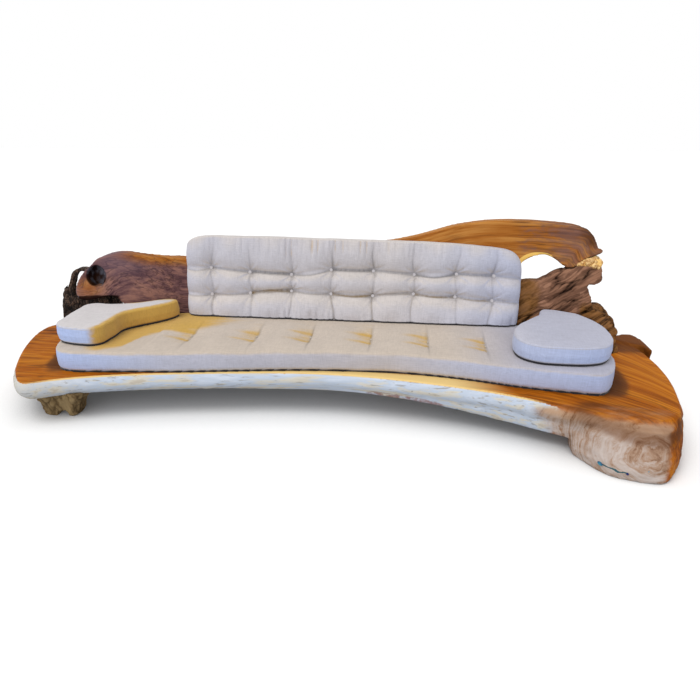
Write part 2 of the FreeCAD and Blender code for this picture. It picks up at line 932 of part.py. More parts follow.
def make_arm(shares, inset):
    """An arm cushion's solid for an inset, lying on the seat cushion."""
    outline = [place(s) for s in shares]
    low = deck_height + seat_thickness + 2 * cushion_gap + inset
    high = low + arm_thickness - 2 * inset
    levels = (
        (-arm_seam_inset - inset, low),
        (-inset, low + seam_rise),
        (side_bulge - inset, (low + high) / 2),
        (-inset, high - seam_rise),
        (-arm_seam_inset - inset, high),
    )
    wires = [arc_loop(shifted(outline, move), height) for move, height in levels]
    rim = shifted(outline, -arm_seam_inset - inset)
    centre = (sum(p[0] for p in rim) / len(rim), sum(p[1] for p in rim) / len(rim))
    crown = [tuple(c + (v - c) * arm_crown_share for v, c in zip(p, centre)) for p in rim]
    wires.append(arc_loop(crown, high + arm_crown_rise))
    return Part.makeLoft(wires, True, True)


def drawn_in(shape, gap):
    """A shape drawn in towards its middle by a gap on every side."""
    box = shape.optimalBoundingBox(False)
    matrix = FreeCAD.Matrix()
    matrix.move(box.Center * -1)
    matrix.scale(*[1 - 2 * gap / length for length in (box.XLength, box.YLength, box.ZLength)])
    matrix.move(box.Center)
    return shape.transformGeometry(matrix)


def cover_and_filling(make):
    """A cushion's cover, hollowed for its filling, and the filling."""
    hollow = make(cover_wall)
    return make(0).cut(hollow), drawn_in(hollow, filling_gap)


def make_screw(x, y, seat):
    """A coach screw that points up, with its washer against the seat at that height."""
    low = seat - washer_thickness - screw_head_height
    corners = []
    for i in range(7):
        turn = i * math.pi / 3
        reach = V(math.cos(turn), math.sin(turn), 0) * screw_head_radius
        corners.append(V(x, y, low) + reach)
    head = Part.Face(Part.makePolygon(corners)).extrude(V(0, 0, screw_head_height))
    start = seat - washer_thickness
    return head.fuse(upright(x, y, start - screw_head_height / 2, start + screw_length, screw_radius))


def make_washer(x, y, seat):
    """A washer under the seat at that height."""
    low = seat - washer_thickness
    return upright(x, y, low, seat, washer_radius).cut(upright(x, y, low, seat, screw_radius + screw_fit))


def screw_places():
    """Plan places of the coach screws."""
    return [place(shares) for shares in screw_shares]


def bored_slab(slab):
    """The slab with counterbores and clearance holes for the coach screws."""
    seat = underside + counterbore_depth
    tools = []
    for x, y in screw_places():
        tools.append(upright(x, y, underside - overrun, seat, counterbore_radius))
        tools.append(upright(x, y, underside, deck_height + overrun, screw_radius + screw_fit))
    return slab.cut(tools)


def foot_pins(centre_shares):
    """The two hardwood pins that join a foot to the slab."""
    x, y = place(centre_shares)
    low, high = underside - pin_length / 2, underside + pin_length / 2
    return [upright(x + side * pin_spread / 2, y, low, high, pin_radius) for side in (-1, 1)]


def make_branch_pin():
    """The pin along the lean that joins the branch's end to the root post."""
    start = raised(branch_pin_shares)
    start.y = plank_face_y + lean_at(start.z) + plank_thickness / 2
    lean = math.radians(lean_degrees)
    way = V(0, math.sin(lean), math.cos(lean))
    return Part.makeCylinder(branch_pin_radius, branch_pin_length, start, way)


def resin_bores():
    """The round pockets of the resin plugs, open at the front face."""
    bores = []
    for shares, height, radius in resin_plugs:
        x, y = place(shares)
        start = V(x, y + resin_depth, height * deck_height)
        bores.append(Part.makeCylinder(radius, resin_depth + overrun * 2, start, V(0, -1, 0)))
    return bores


def back_rods(radius, front, rear):
    """Rods through the back cushion's tufts, between two depths measured from its rear face."""
    rods = [Part.makeCylinder(radius, rear - front, V(x, front, z), V(0, 1, 0)) for x, z in back_tufts()]
    return [lean_back(rod) for rod in rods]


def make_back_cushion():
    """The back cushion's cover, filling, front and rear buttons, and the twines between them."""
    cover, filling = cover_and_filling(make_back)
    tuft = back_tuft_depth - back_thickness
    front_middle = tuft - button_thickness / 2
    twines = back_rods(twine_radius, front_middle, -rear_button_thickness / 2)
    rear_buttons = back_rods(button_radius, -rear_button_thickness, 0)
    cover = cover.cut(twines).cut(rear_buttons)
    filling = filling.cut(twines)
    blanks = back_rods(button_radius, tuft - button_thickness, tuft)
    buttons = [largest(b.cut(cover).cut(t)) for b, t in zip(blanks, twines)]
    rear_buttons = [b.cut(t) for b, t in zip(rear_buttons, twines)]
    return cover, filling, buttons, rear_buttons, twines


def seat_tufts():
    """Plan places of the seat cushion's tufts."""
    spots = []
    for along, front, rear, full in seat_station_shares:
        if full == 0.0:
            y_tuft = min(seat_tuft_share, (front + seat_flat_share) / 2) * deck_depth
            spots.append((along * bench_length, y_tuft))
    return spots


def make_seat_cushion():
    """The seat cushion's cover, foam and tufting ties."""
    cover, foam = cover_and_filling(make_seat)
    low = deck_height + cushion_gap
    top = low + seat_thickness - seat_tuft_depth
    discs, twines, blanks = [], [], []
    for x, y in seat_tufts():
        discs.append(upright(x, y, low, low + tie_disc_thickness, tie_disc_radius))
        twines.append(upright(x, y, low + tie_disc_thickness / 2, top + knot_rise / 2, twine_radius))
        blanks.append(upright(x, y, top - cover_wall / 2, top + knot_rise, knot_radius))
    cover = cover.cut(twines).cut(discs)
    foam = foam.cut(twines)
    ties = [largest(b.cut(cover)).fuse([t, d]) for b, t, d in zip(blanks, twines, discs)]
    return cover, foam, ties


def export(name, solids):
    """Writes one node's solids as a STEP file."""
    shape = solids[0] if len(solids) == 1 else Part.makeCompound(solids)
    shape.exportStep("parts/" + name + ".step")


def wooden_pieces():
    """Every wooden piece with its fastenings, as lists of solids under their node names."""
    slab = make_slab()
    plank = make_plank()
    post = make_post(plank)
    stump = make_stump(plank)
    feet, pins = {}, []
    for name, shares, turn in (
        ("front_left_foot", front_left_foot_shares, 1),
        ("rear_left_foot", rear_left_foot_shares, -1),
        ("rear_right_foot", rear_right_foot_shares, 1),
    ):
        pair = foot_pins(shares)
        feet[name] = [make_foot(shares, slab, turn).cut(pair)]
        pins += pair
    seat = underside + counterbore_depth
    screws = [make_screw(x, y, seat) for x, y in screw_places()]
    washers = [make_washer(x, y, seat) for x, y in screw_places()]
    branch_pin = make_branch_pin()
    bores = resin_bores()
    plugs = [slab.common(bore) for bore in bores]
    slab = bored_slab(slab.cut(bores)).cut(pins)
    return {
        "seat_slab": [slab],
        "backrest_plank": [plank.cut(screws).cut(branch_pin)],
        "root_post": [post.cut(screws).cut(branch_pin)],
        "bark_stump": [stump.cut(screws)],
        **feet,
        "foot_pins": pins,
        "coach_screws": screws,
        "coach_screw_washers": washers,
        "branch_pin": [branch_pin],
        "resin_plugs": plugs,
    }


def soft_pieces():
    """Every piece of the four loose cushions, as lists of solids under their node names."""
    cover, foam, ties = make_seat_cushion()
    pieces = {"seat_cushion_cover": [cover], "seat_cushion_foam": [foam], "seat_cushion_ties": ties}
    cover, filling, buttons, rear_buttons, twines = make_back_cushion()
    pieces["back_cushion_cover"] = [cover]
    pieces["back_cushion_filling"] = [filling]
    pieces["back_cushion_buttons"] = buttons
    pieces["back_cushion_rear_buttons"] = rear_buttons
    pieces["back_cushion_twines"] = twines
    for side, shares in (("left", left_arm_shares), ("right", right_arm_shares)):
        cover, foam = cover_and_filling(lambda inset, table=shares: make_arm(table, inset))
        pieces[side + "_arm_cushion_cover"] = [cover]
        pieces[side + "_arm_cushion_foam"] = [foam]
    return pieces


def main():
    """Builds every piece, centres the bench over the origin and writes one file per node."""
    os.makedirs("parts", exist_ok=True)
    nodes = {**wooden_pieces(), **soft_pieces()}
    whole = Part.makeCompound([solid for solids in nodes.values() for solid in solids])
    box = whole.optimalBoundingBox(False)
    shift = V(-box.Center.x, -box.Center.y, 0)
    print("shift", shift, "size", box.XLength, box.YLength, box.ZLength, box.ZMin)
    for name, solids in nodes.items():
        for solid in solids:
            solid.translate(shift)
        litres = sum(solid.Volume for solid in solids) / 1e6
        sound = all(solid.isValid() and len(solid.Solids) == 1 for solid in solids)
        print(name, len(solids), "solids, sound:", sound, "litres:", round(litres, 3))
        export(name, solids)


main()
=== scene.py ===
"""Looks of a live-edge root bench with four loose cushions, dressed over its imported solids.

The bench is root wood: a crescent slab with a pale live edge, a swirling root foot, a leaning plank
with a knot hole and a branch, a weathered post and a bark stump. The cushions are linen over foam.
"""

import logging
import math
from dataclasses import dataclass
from enum import Enum
from typing import Sequence

import bmesh
import bpy
import numpy as np
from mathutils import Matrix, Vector, kdtree, noise


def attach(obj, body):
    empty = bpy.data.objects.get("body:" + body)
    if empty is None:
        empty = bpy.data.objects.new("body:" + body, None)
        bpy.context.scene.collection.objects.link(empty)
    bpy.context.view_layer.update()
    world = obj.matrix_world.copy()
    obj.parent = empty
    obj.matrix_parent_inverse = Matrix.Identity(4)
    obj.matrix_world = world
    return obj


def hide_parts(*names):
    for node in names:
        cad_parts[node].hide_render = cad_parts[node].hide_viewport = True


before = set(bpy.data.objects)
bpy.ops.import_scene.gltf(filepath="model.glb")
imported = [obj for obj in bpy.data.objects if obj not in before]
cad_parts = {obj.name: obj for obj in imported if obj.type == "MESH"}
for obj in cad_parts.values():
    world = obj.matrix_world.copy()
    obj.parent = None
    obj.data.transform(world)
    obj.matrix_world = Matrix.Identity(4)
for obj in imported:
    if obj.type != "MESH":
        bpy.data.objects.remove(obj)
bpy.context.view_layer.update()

log = logging.getLogger("bench")
Array = np.ndarray
Thing = bpy.types.Object
Material = bpy.types.Material
Colour = tuple[float, float, float]
Stops = Sequence[tuple[float, Colour]]
Band = tuple[float, float]
Spot = tuple[float, float]
MM = 0.001
WHITE: Colour = (1.0, 1.0, 1.0)


class Body(str, Enum):
    """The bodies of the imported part."""

    BENCH = "bench"
    SEAT = "seat_cushion"
    BACK = "back_cushion"
    LEFT_ARM = "left_arm_cushion"
    RIGHT_ARM = "right_arm_cushion"


class Slot(str, Enum):
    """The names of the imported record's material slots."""

    SLAB = "slab_wood"
    PLANK = "plank_wood"
    ROOT = "root_wood"
    BARK = "bark"
    LINEN = "linen"


# Shader expressions


class Wire:
    """An output of a material's node that takes part in Python expressions on numbers."""

    def __init__(self, desk: "Desk", socket: bpy.types.NodeSocket) -> None:
        """Keeps the socket and the desk that can add nodes after it."""
        self.desk = desk
        self.socket = socket

    def math(self, operation: str, *others: "Wire | float") -> "Wire":
        """This value and others through one Math node."""
        return self.desk.math(operation, self, *others)

    def __add__(self, other: "Wire | float") -> "Wire":
        """Sum."""
        return self.math("ADD", other)

    def __radd__(self, other: float) -> "Wire":
        """Sum with a number first."""
        return self.math("ADD", other)

    def __sub__(self, other: "Wire | float") -> "Wire":
        """Difference."""
        return self.math("SUBTRACT", other)

    def __rsub__(self, other: float) -> "Wire":
        """Difference with a number first."""
        return self.desk.math("SUBTRACT", other, self)

    def __mul__(self, other: "Wire | float") -> "Wire":
        """Product."""
        return self.math("MULTIPLY", other)

    def __rmul__(self, other: float) -> "Wire":
        """Product with a number first."""
        return self.math("MULTIPLY", other)

    def __truediv__(self, other: "Wire | float") -> "Wire":
        """Quotient."""
        return self.math("DIVIDE", other)

    def __pow__(self, other: "Wire | float") -> "Wire":
        """Power."""
        return self.math("POWER", other)

    def clamped(self) -> "Wire":
        """The value held between 0 and 1."""
        return self.desk.node("ShaderNodeClamp", {}, {0: self})

    def ramp(self, low: float, high: float) -> "Wire":
        """Makes a smooth step of the value.

        Args:
            low: where it is still 0.
            high: where it reaches 1.

        Returns:
            The step.
        """
        settings = {"interpolation_type": "SMOOTHSTEP"}
        inputs = {"Value": self, "From Min": low, "From Max": high}
        return self.desk.node("ShaderNodeMapRange", settings, inputs)


class Desk:
    """A material under construction: it adds nodes and links them.

    A Mix node shows sockets for each kind of data, so its colours go by their places.
    """

    FIRST_COLOUR = 6
    SECOND_COLOUR = 7
    MIXED_COLOUR = 2

    def __init__(self, name: str) -> None:
        """Starts an empty material with an output.

        Args:
            name: the material's name.
        """
        self.material = bpy.data.materials.new(name)
        self.material.use_nodes = True
        self.tree = self.material.node_tree
        self.tree.nodes.clear()
        self.output = self.tree.nodes.new("ShaderNodeOutputMaterial")

    def node(self, kind: str, settings: dict, inputs: dict, output: int | str = 0) -> Wire:
        """Adds one node.

        Args:
            kind: the node's type.
            settings: its settings, and "stops" for a ramp's places and colours.
            inputs: value or wire for each input's index or name.
            output: index or name of the output that is wanted.

        Returns:
            The wanted output.
        """
        made = self.tree.nodes.new(kind)
        for name, value in settings.items():
            if name == "stops":
                self._set_stops(made.color_ramp, value)
            else:
                setattr(made, name, value)
        for key, value in inputs.items():
            self.feed(made.inputs[key], value)
        return Wire(self, made.outputs[output])

    @staticmethod
    def _set_stops(ramp: bpy.types.ColorRamp, stops: Stops) -> None:
        """Gives a colour ramp its stops.

        Args:
            ramp: the ramp.
            stops: place and colour of each stop.
        """
        while len(ramp.elements) < len(stops):
            ramp.elements.new(1.0)
        for element, (place, colour) in zip(ramp.elements, stops):
            element.position = place
            element.color = (*colour, 1.0)

    def feed(self, socket: bpy.types.NodeSocket, value: "Wire | float | Sequence[float]") -> None:
        """Links a wire to an input, or sets the input's own value.

        Args:
            socket: the input.
            value: a wire, a number, a colour or a vector.
        """
        if isinstance(value, Wire):
            self.tree.links.new(value.socket, socket)
        elif isinstance(value, (int, float)):
            socket.default_value = value
        elif len(socket.default_value) == 4:
            socket.default_value = (*value[:3], 1.0)
        else:
            socket.default_value = value

    def math(self, operation: str, *values: "Wire | float") -> Wire:
        """One Math node on one to three values."""
        return self.node("ShaderNodeMath", {"operation": operation}, dict(enumerate(values)))

    def place(self) -> Wire:
        """The point's place in the bench's frame, in metres."""
        return self.node("ShaderNodeTexCoord", {}, {}, "Object")

    def painted(self, name: str) -> Wire:
        """A painted value of the mesh."""
        return self.node("ShaderNodeAttribute", {"attribute_name": name}, {}, "Fac")

    def painted_vector(self, name: str) -> Wire:
        """A painted vector of the mesh."""
        return self.node("ShaderNodeAttribute", {"attribute_name": name}, {}, "Vector")

    def axes(self, vector: Wire) -> tuple[Wire, Wire, Wire]:
        """Splits a vector.

        Args:
            vector: the vector.

        Returns:
            Its three parts.
        """
        made = self.tree.nodes.new("ShaderNodeSeparateXYZ")
        self.feed(made.inputs[0], vector)
        return tuple(Wire(self, out) for out in made.outputs)

    def vector(self, x: "Wire | float", y: "Wire | float", z: "Wire | float") -> Wire:
        """A vector of three values."""
        return self.node("ShaderNodeCombineXYZ", {}, {0: x, 1: y, 2: z})

    def stretched(self, vector: Wire, scales: Sequence[float], shift: Sequence[float] = (0, 0, 0)) -> Wire:
        """A vector scaled along each axis and shifted."""
        inputs = {0: vector, 1: tuple(scales), 2: tuple(shift)}
        return self.node("ShaderNodeVectorMath", {"operation": "MULTIPLY_ADD"}, inputs)

    def added(self, one: Wire, two: Wire) -> Wire:
        """The sum of two vectors."""
        return self.node("ShaderNodeVectorMath", {"operation": "ADD"}, {0: one, 1: two})

    def drawn_out(self, vector: Wire, share: float) -> Wire:
        """A vector whose first axis counts for a share only, so that patterns run long that way."""
        return self.stretched(vector, (share, 1.0, 1.0))

    def cloud(self, vector: Wire, scale: float, detail: float = 3.0, roughness: float = 0.5) -> Wire:
        """Soft noise between 0 and 1."""
        inputs = {"Vector": vector, "Scale": scale, "Detail": detail, "Roughness": roughness}
        return self.node("ShaderNodeTexNoise", {}, inputs)

    def cloud_vector(self, vector: Wire, scale: float, detail: float, strength: float) -> Wire:
        """Makes a noisy vector about zero that bends a pattern.

        Args:
            vector: where the noise is read.
            scale: waves in a metre.
            detail: how many finer layers it has.
            strength: how far it bends, in metres.

        Returns:
            The vector.
        """
        inputs = {"Vector": vector, "Scale": scale, "Detail": detail}
        colour = self.node("ShaderNodeTexNoise", {}, inputs, "Color")
        shift = (-0.5 * strength,) * 3
        return self.stretched(colour, (strength,) * 3, shift)

    def cell_borders(self, vector: Wire, scale: float) -> Wire:
        """The distance to the nearest border between cells round scattered points."""
        settings = {"feature": "DISTANCE_TO_EDGE"}
        return self.node("ShaderNodeTexVoronoi", settings, {"Vector": vector, "Scale": scale})

    def mix(
        self, factor: "Wire | float", one: "Wire | Colour", two: "Wire | Colour", how: str = "MIX"
    ) -> Wire:
        """Mixes two colours.

        Args:
            factor: 0 for the first and 1 for the second.
            one: the first colour.
            two: the second colour.
            how: the blend type.

        Returns:
            The mixed colour.
        """
        settings = {"data_type": "RGBA", "blend_type": how, "clamp_factor": True}
        inputs = {0: factor, self.FIRST_COLOUR: one, self.SECOND_COLOUR: two}
        return self.node("ShaderNodeMix", settings, inputs, self.MIXED_COLOUR)

    def shaded(self, colour: "Wire | Colour", amount: Wire, darkest: Colour) -> Wire:
        """A colour that darkens to a share of itself where the amount nears 1."""
        return self.mix(1.0, colour, self.mix(amount, WHITE, darkest), "MULTIPLY")

    def tones(self, factor: Wire, stops: Stops) -> Wire:
        """A colour ramp on a value."""
        return self.node("ShaderNodeValToRGB", {"stops": stops}, {0: factor})

    def bump(self, height: Wire, depth: float, strength: float) -> Wire:
        """A normal bent by a height of that depth in metres."""
        return self.node("ShaderNodeBump", {}, {"Strength": strength, "Distance": depth, "Height": height})

    def finish(
        self, colour: "Wire | Colour", roughness: "Wire | float", normal: Wire, **fixed: float
    ) -> Material:
        """Ends the material in a Principled shader.

        Args:
            colour: base colour.
            roughness: roughness.
            normal: bent normal.
            fixed: other inputs that are the same all over, with spaces in their names as underscores.

        Returns:
            The material.
        """
        shader = self.tree.nodes.new("ShaderNodeBsdfPrincipled")
        self.feed(shader.inputs["Base Color"], colour)
        self.feed(shader.inputs["Roughness"], roughness)
        self.feed(shader.inputs["Normal"], normal)
        for name, value in fixed.items():
            self.feed(shader.inputs[name.replace("_", " ")], value)
        self.tree.links.new(shader.outputs[0], self.output.inputs["Surface"])
        return self.material


# Mesh arrays


def step(values: Array, low: float, high: float) -> Array:
    """A smooth step from 0 at low to 1 at high, where high may be the lower."""
    share = np.clip((values - low) / (high - low), 0, 1)
    return share * share * (3 - 2 * share)


def between(values: Array, rise: Band, fall: Band) -> Array:
    """1 between two bands over which it rises from 0 and falls back to it."""
    return step(values, *rise) * step(values, *fall)


def hill(values: Array, width: float) -> Array:
    """A bell of height 1 about zero."""
    return np.exp(-((values / width) ** 2))


def rough(points: Array, scale: float | Sequence[float], seed: float, octaves: int = 4) -> Array:
    """Fractal noise about zero at each point.

    Args:
        points: places, one row each.
        scale: waves in a metre, one number or one for each axis.
        seed: shift that makes another pattern.
        octaves: how many finer layers are added.

    Returns:
        One value for each point, mostly between -1 and 1.
    """
    places = (points * np.asarray(scale) + seed).tolist()
    return np.array([noise.fractal(place, 1.0, 2.0, octaves) for place in places])


def ridges(points: Array, scale: Sequence[float], seed: float, steepness: float = 2.2) -> Array:
    """Noise with sharp furrows: 0 at a furrow's bottom, near 1 on the flats between."""
    return np.clip(np.abs(rough(points, scale, seed, 3)) * steepness, 0, 1)


def node_mesh(name: str) -> Thing:
    """Copies a CAD node's mesh and merges its doubled points.

    Args:
        name: the node.

    Returns:
        A new object at the origin, without materials.
    """
    thing = bpy.data.objects.new(name + "_dressed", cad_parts[name].data.copy())
    bpy.context.scene.collection.objects.link(thing)
    work = bmesh.new()
    work.from_mesh(thing.data)
    bmesh.ops.remove_doubles(work, verts=work.verts, dist=0.01 * MM)
    work.to_mesh(thing.data)
    work.free()
    thing.data.materials.clear()
    return thing


def loose_shells(work: bmesh.types.BMesh) -> list[list[bmesh.types.BMVert]]:
    """Sorts a mesh's points by the loose shell that they belong to.

    Args:
        work: the mesh.

    Returns:
        One list of points for each shell.
    """
    seen: set[int] = set()
    shells = []
    for start in work.verts:
        if start.index in seen:
            continue
        seen.add(start.index)
        shell = [start]
        for vert in shell:
            for edge in vert.link_edges:
                other = edge.other_vert(vert)
                if other.index not in seen:
                    seen.add(other.index)
                    shell.append(other)
        shells.append(shell)
    return shells


def keep_outer(thing: Thing) -> None:
    """Keeps only the largest loose shell of a mesh, which is a hollow cover's outside.

    Args:
        thing: the cover.
    """
    work = bmesh.new()
    work.from_mesh(thing.data)
    shells = loose_shells(work)
    spans = [float(np.ptp(np.array([vert.co[:] for vert in shell]), axis=0).sum()) for shell in shells]
    shells.pop(int(np.argmax(spans)))
    gone = [vert for shell in shells for vert in shell]
    bmesh.ops.delete(work, geom=gone, context="VERTS")
    work.to_mesh(thing.data)
    work.free()


def islands(name: str) -> Array:
    """Finds the loose pieces of a CAD node.

    Args:
        name: the node.

    Returns:
        The middle of each piece, sorted along the bench.
    """
    thing = node_mesh(name)
    work = bmesh.new()
    work.from_mesh(thing.data)
    middles = []
    for shell in loose_shells(work):
        places = np.array([vert.co[:] for vert in shell])
        middles.append((places.min(0) + places.max(0)) / 2)
    work.free()
    bpy.data.objects.remove(thing)
    return np.array(sorted(middles, key=lambda middle: middle[0]))


def settle(thing: Thing) -> None:
    """Turns what an object's modifiers make into its own plain mesh.

    Args:
        thing: the object.
    """
    graph = bpy.context.evaluated_depsgraph_get()
    made = bpy.data.meshes.new_from_object(thing.evaluated_get(graph))
    thing.modifiers.clear()
    thing.data = made


def regrid(thing: Thing, pitch: float) -> None:
    """Rebuilds a closed mesh from even, nearly square faces.

    Args:
        thing: the object.
        pitch: the faces' width.
    """
    grid = thing.modifiers.new("grid", "REMESH")
    grid.mode = "VOXEL"
    grid.voxel_size = pitch
    grid.use_smooth_shade = True
    settle(thing)


def read_rows(thing: Thing, key: str) -> Array:
    """Reads a vector of each mesh point.

    Args:
        thing: the object.
        key: "co" for the places or "normal" for the normals.

    Returns:
        One row for each point.
    """
    flat = np.zeros(len(thing.data.vertices) * 3)
    thing.data.vertices.foreach_get(key, flat)
    return flat.reshape(-1, 3)


def skin(node: str, pitch: float, hollow: bool = False) -> tuple[Thing, Array, Array]:
    """Grows an even skin over a CAD node.

    Args:
        node: the node.
        pitch: the faces' width.
        hollow: whether the node is a hollow cover, of which only the outside is wanted.

    Returns:
        The skin, its points and its normals.
    """
    thing = node_mesh(node)
    if hollow:
        keep_outer(thing)
    regrid(thing, pitch)
    return thing, read_rows(thing, "co"), read_rows(thing, "normal")


def push_out(thing: Thing, points: Array, normals: Array, lift: Array) -> Array:
    """Moves a mesh's points along their normals.

    Args:
        thing: the object.
        points: its points.
        normals: its normals.
        lift: how far each point moves.

    Returns:
        The moved points.
    """
    moved = points + normals * lift[:, None]
    thing.data.vertices.foreach_set("co", moved.ravel())
    thing.data.update()
    return moved


def paint(thing: Thing, name: str, values: Array) -> None:
    """Stores a value or a vector on each point.

    Args:
        thing: the object.
        name: what the materials read it by.
        values: one number or one row for each point.
    """
    kind, key = ("FLOAT", "value") if values.ndim == 1 else ("FLOAT_VECTOR", "vector")
    layer = thing.data.attributes.new(name, kind, "POINT")
    layer.data.foreach_set(key, values.astype(np.float32).ravel())


def in_plan(points: Array) -> Array:
    """The points laid flat on the floor."""
    return points * (1.0, 1.0, 0.0)


def tree_of(points: Array, rows: Array | None = None) -> kdtree.KDTree:
    """Builds a search tree of points.

    Args:
        points: places, one row each.
        rows: the rows that go in, or None for all.

    Returns:
        The tree, which finds the nearest place, its row and its distance.
    """
    chosen = np.arange(len(points)) if rows is None else rows
    tree = kdtree.KDTree(len(chosen))
    for row in chosen:
        tree.insert(points[row], int(row))
    tree.balance()
    return tree


def dress(thing: Thing, material: Material) -> None:
    """Gives a mesh one material and smooth shading.

    Args:
        thing: the object.
        material: its finish.
    """
    thing.data.materials.clear()
    thing.data.materials.append(material)
    thing.data.shade_smooth()


def hand_over(thing: Thing, name: str, body: Body, slot: Slot, *nodes: str) -> None:
    """Names a finished piece, attaches it to the body that carries it and hides the CAD nodes that it stands
    for.

    Args:
        thing: the piece.
        name: its name.
        body: the body that carries it.
        slot: its material slot; not used.
        nodes: the CAD nodes that it replaces.
    """
    thing.name = name
    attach(thing, body.value)
    if nodes:
        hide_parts(*nodes)
    log.info("%s: %d faces", name, len(thing.data.polygons))


# Wood finishes


@dataclass(frozen=True)
class RootTimber:
    """Oiled root wood whose streaks follow the painted grain.

    The mesh paints "grain" (along, across and through the grain, in metres) and "hollow" for painted
    shade in crevices and gaps. Scales are waves in a metre, and the shares of the streaks' scale set
    coarser and finer layers against it.
    """

    name: str
    pale: Colour
    middle: Colour
    dark: Colour
    vein: Colour
    streak_scale: float = 34.0
    stretch: float = 0.07
    vein_share: float = 0.5
    shine: float = 0.38
    wander: float = 0.075
    twist: float = 3.0
    bend_scale: float = 3.2
    broad_share: float = 0.32
    fine_share: float = 4.5
    line_share: float = 0.9
    streak_share: float = 0.46
    fibre_share: float = 0.16
    tone_stops: tuple[float, float, float] = (0.42, 0.52, 0.63)
    vein_half: Band = (0.004, 0.055)
    vein_patch: Band = (0.34, 0.54)
    patchiness: float = 0.16
    gloss: float = 0.03

    def heartwood(self, desk: Desk) -> tuple[Wire, Wire]:
        """Draws the streaked wood.

        Args:
            desk: the material under construction.

        Returns:
            The wood's colour and the height of its grain.
        """
        grain = desk.painted_vector("grain")
        bend = desk.cloud_vector(desk.drawn_out(grain, 0.5), self.bend_scale, self.twist, self.wander)
        run = desk.drawn_out(desk.added(grain, bend), self.stretch)
        broad = desk.cloud(run, self.streak_scale * self.broad_share, 3.0, 0.55)
        streak = desk.cloud(run, self.streak_scale, 5.0, 0.62)
        fine = desk.cloud(desk.drawn_out(run, 0.6), self.streak_scale * self.fine_share, 3.0, 0.6)
        tone = (broad + streak) * self.streak_share + fine * self.fibre_share
        colour = desk.tones(tone, tuple(zip(self.tone_stops, (self.dark, self.middle, self.pale))))
        aside = desk.stretched(run, (0.55, 1.0, 1.0), (3.0, 7.0, 1.0))
        lines = desk.cloud(aside, self.streak_scale * self.line_share, 2.5, 0.45)
        patches = desk.cloud(grain, 2.6, 2.0).ramp(*self.vein_patch)
        vein = (1.0 - (lines - 0.5).math("ABSOLUTE").ramp(*self.vein_half)) * patches
        colour = desk.mix(vein * self.vein_share, colour, self.vein)
        return colour, streak * 0.5 + fine * 0.5 - vein * 0.4

    def oiled(self, desk: Desk, colour: Wire, wear: Wire, normal: Wire) -> Material:
        """Ends the material as oiled wood.

        Args:
            desk: the material under construction.
            colour: base colour.
            wear: what is added to the roughness.
            normal: bent normal.

        Returns:
            The material.
        """
        roughness = self.patchiness * desk.cloud(desk.place(), 9.0, 3.0) + self.shine + wear
        return desk.finish(colour, roughness, normal, Specular_IOR_Level=self.gloss)


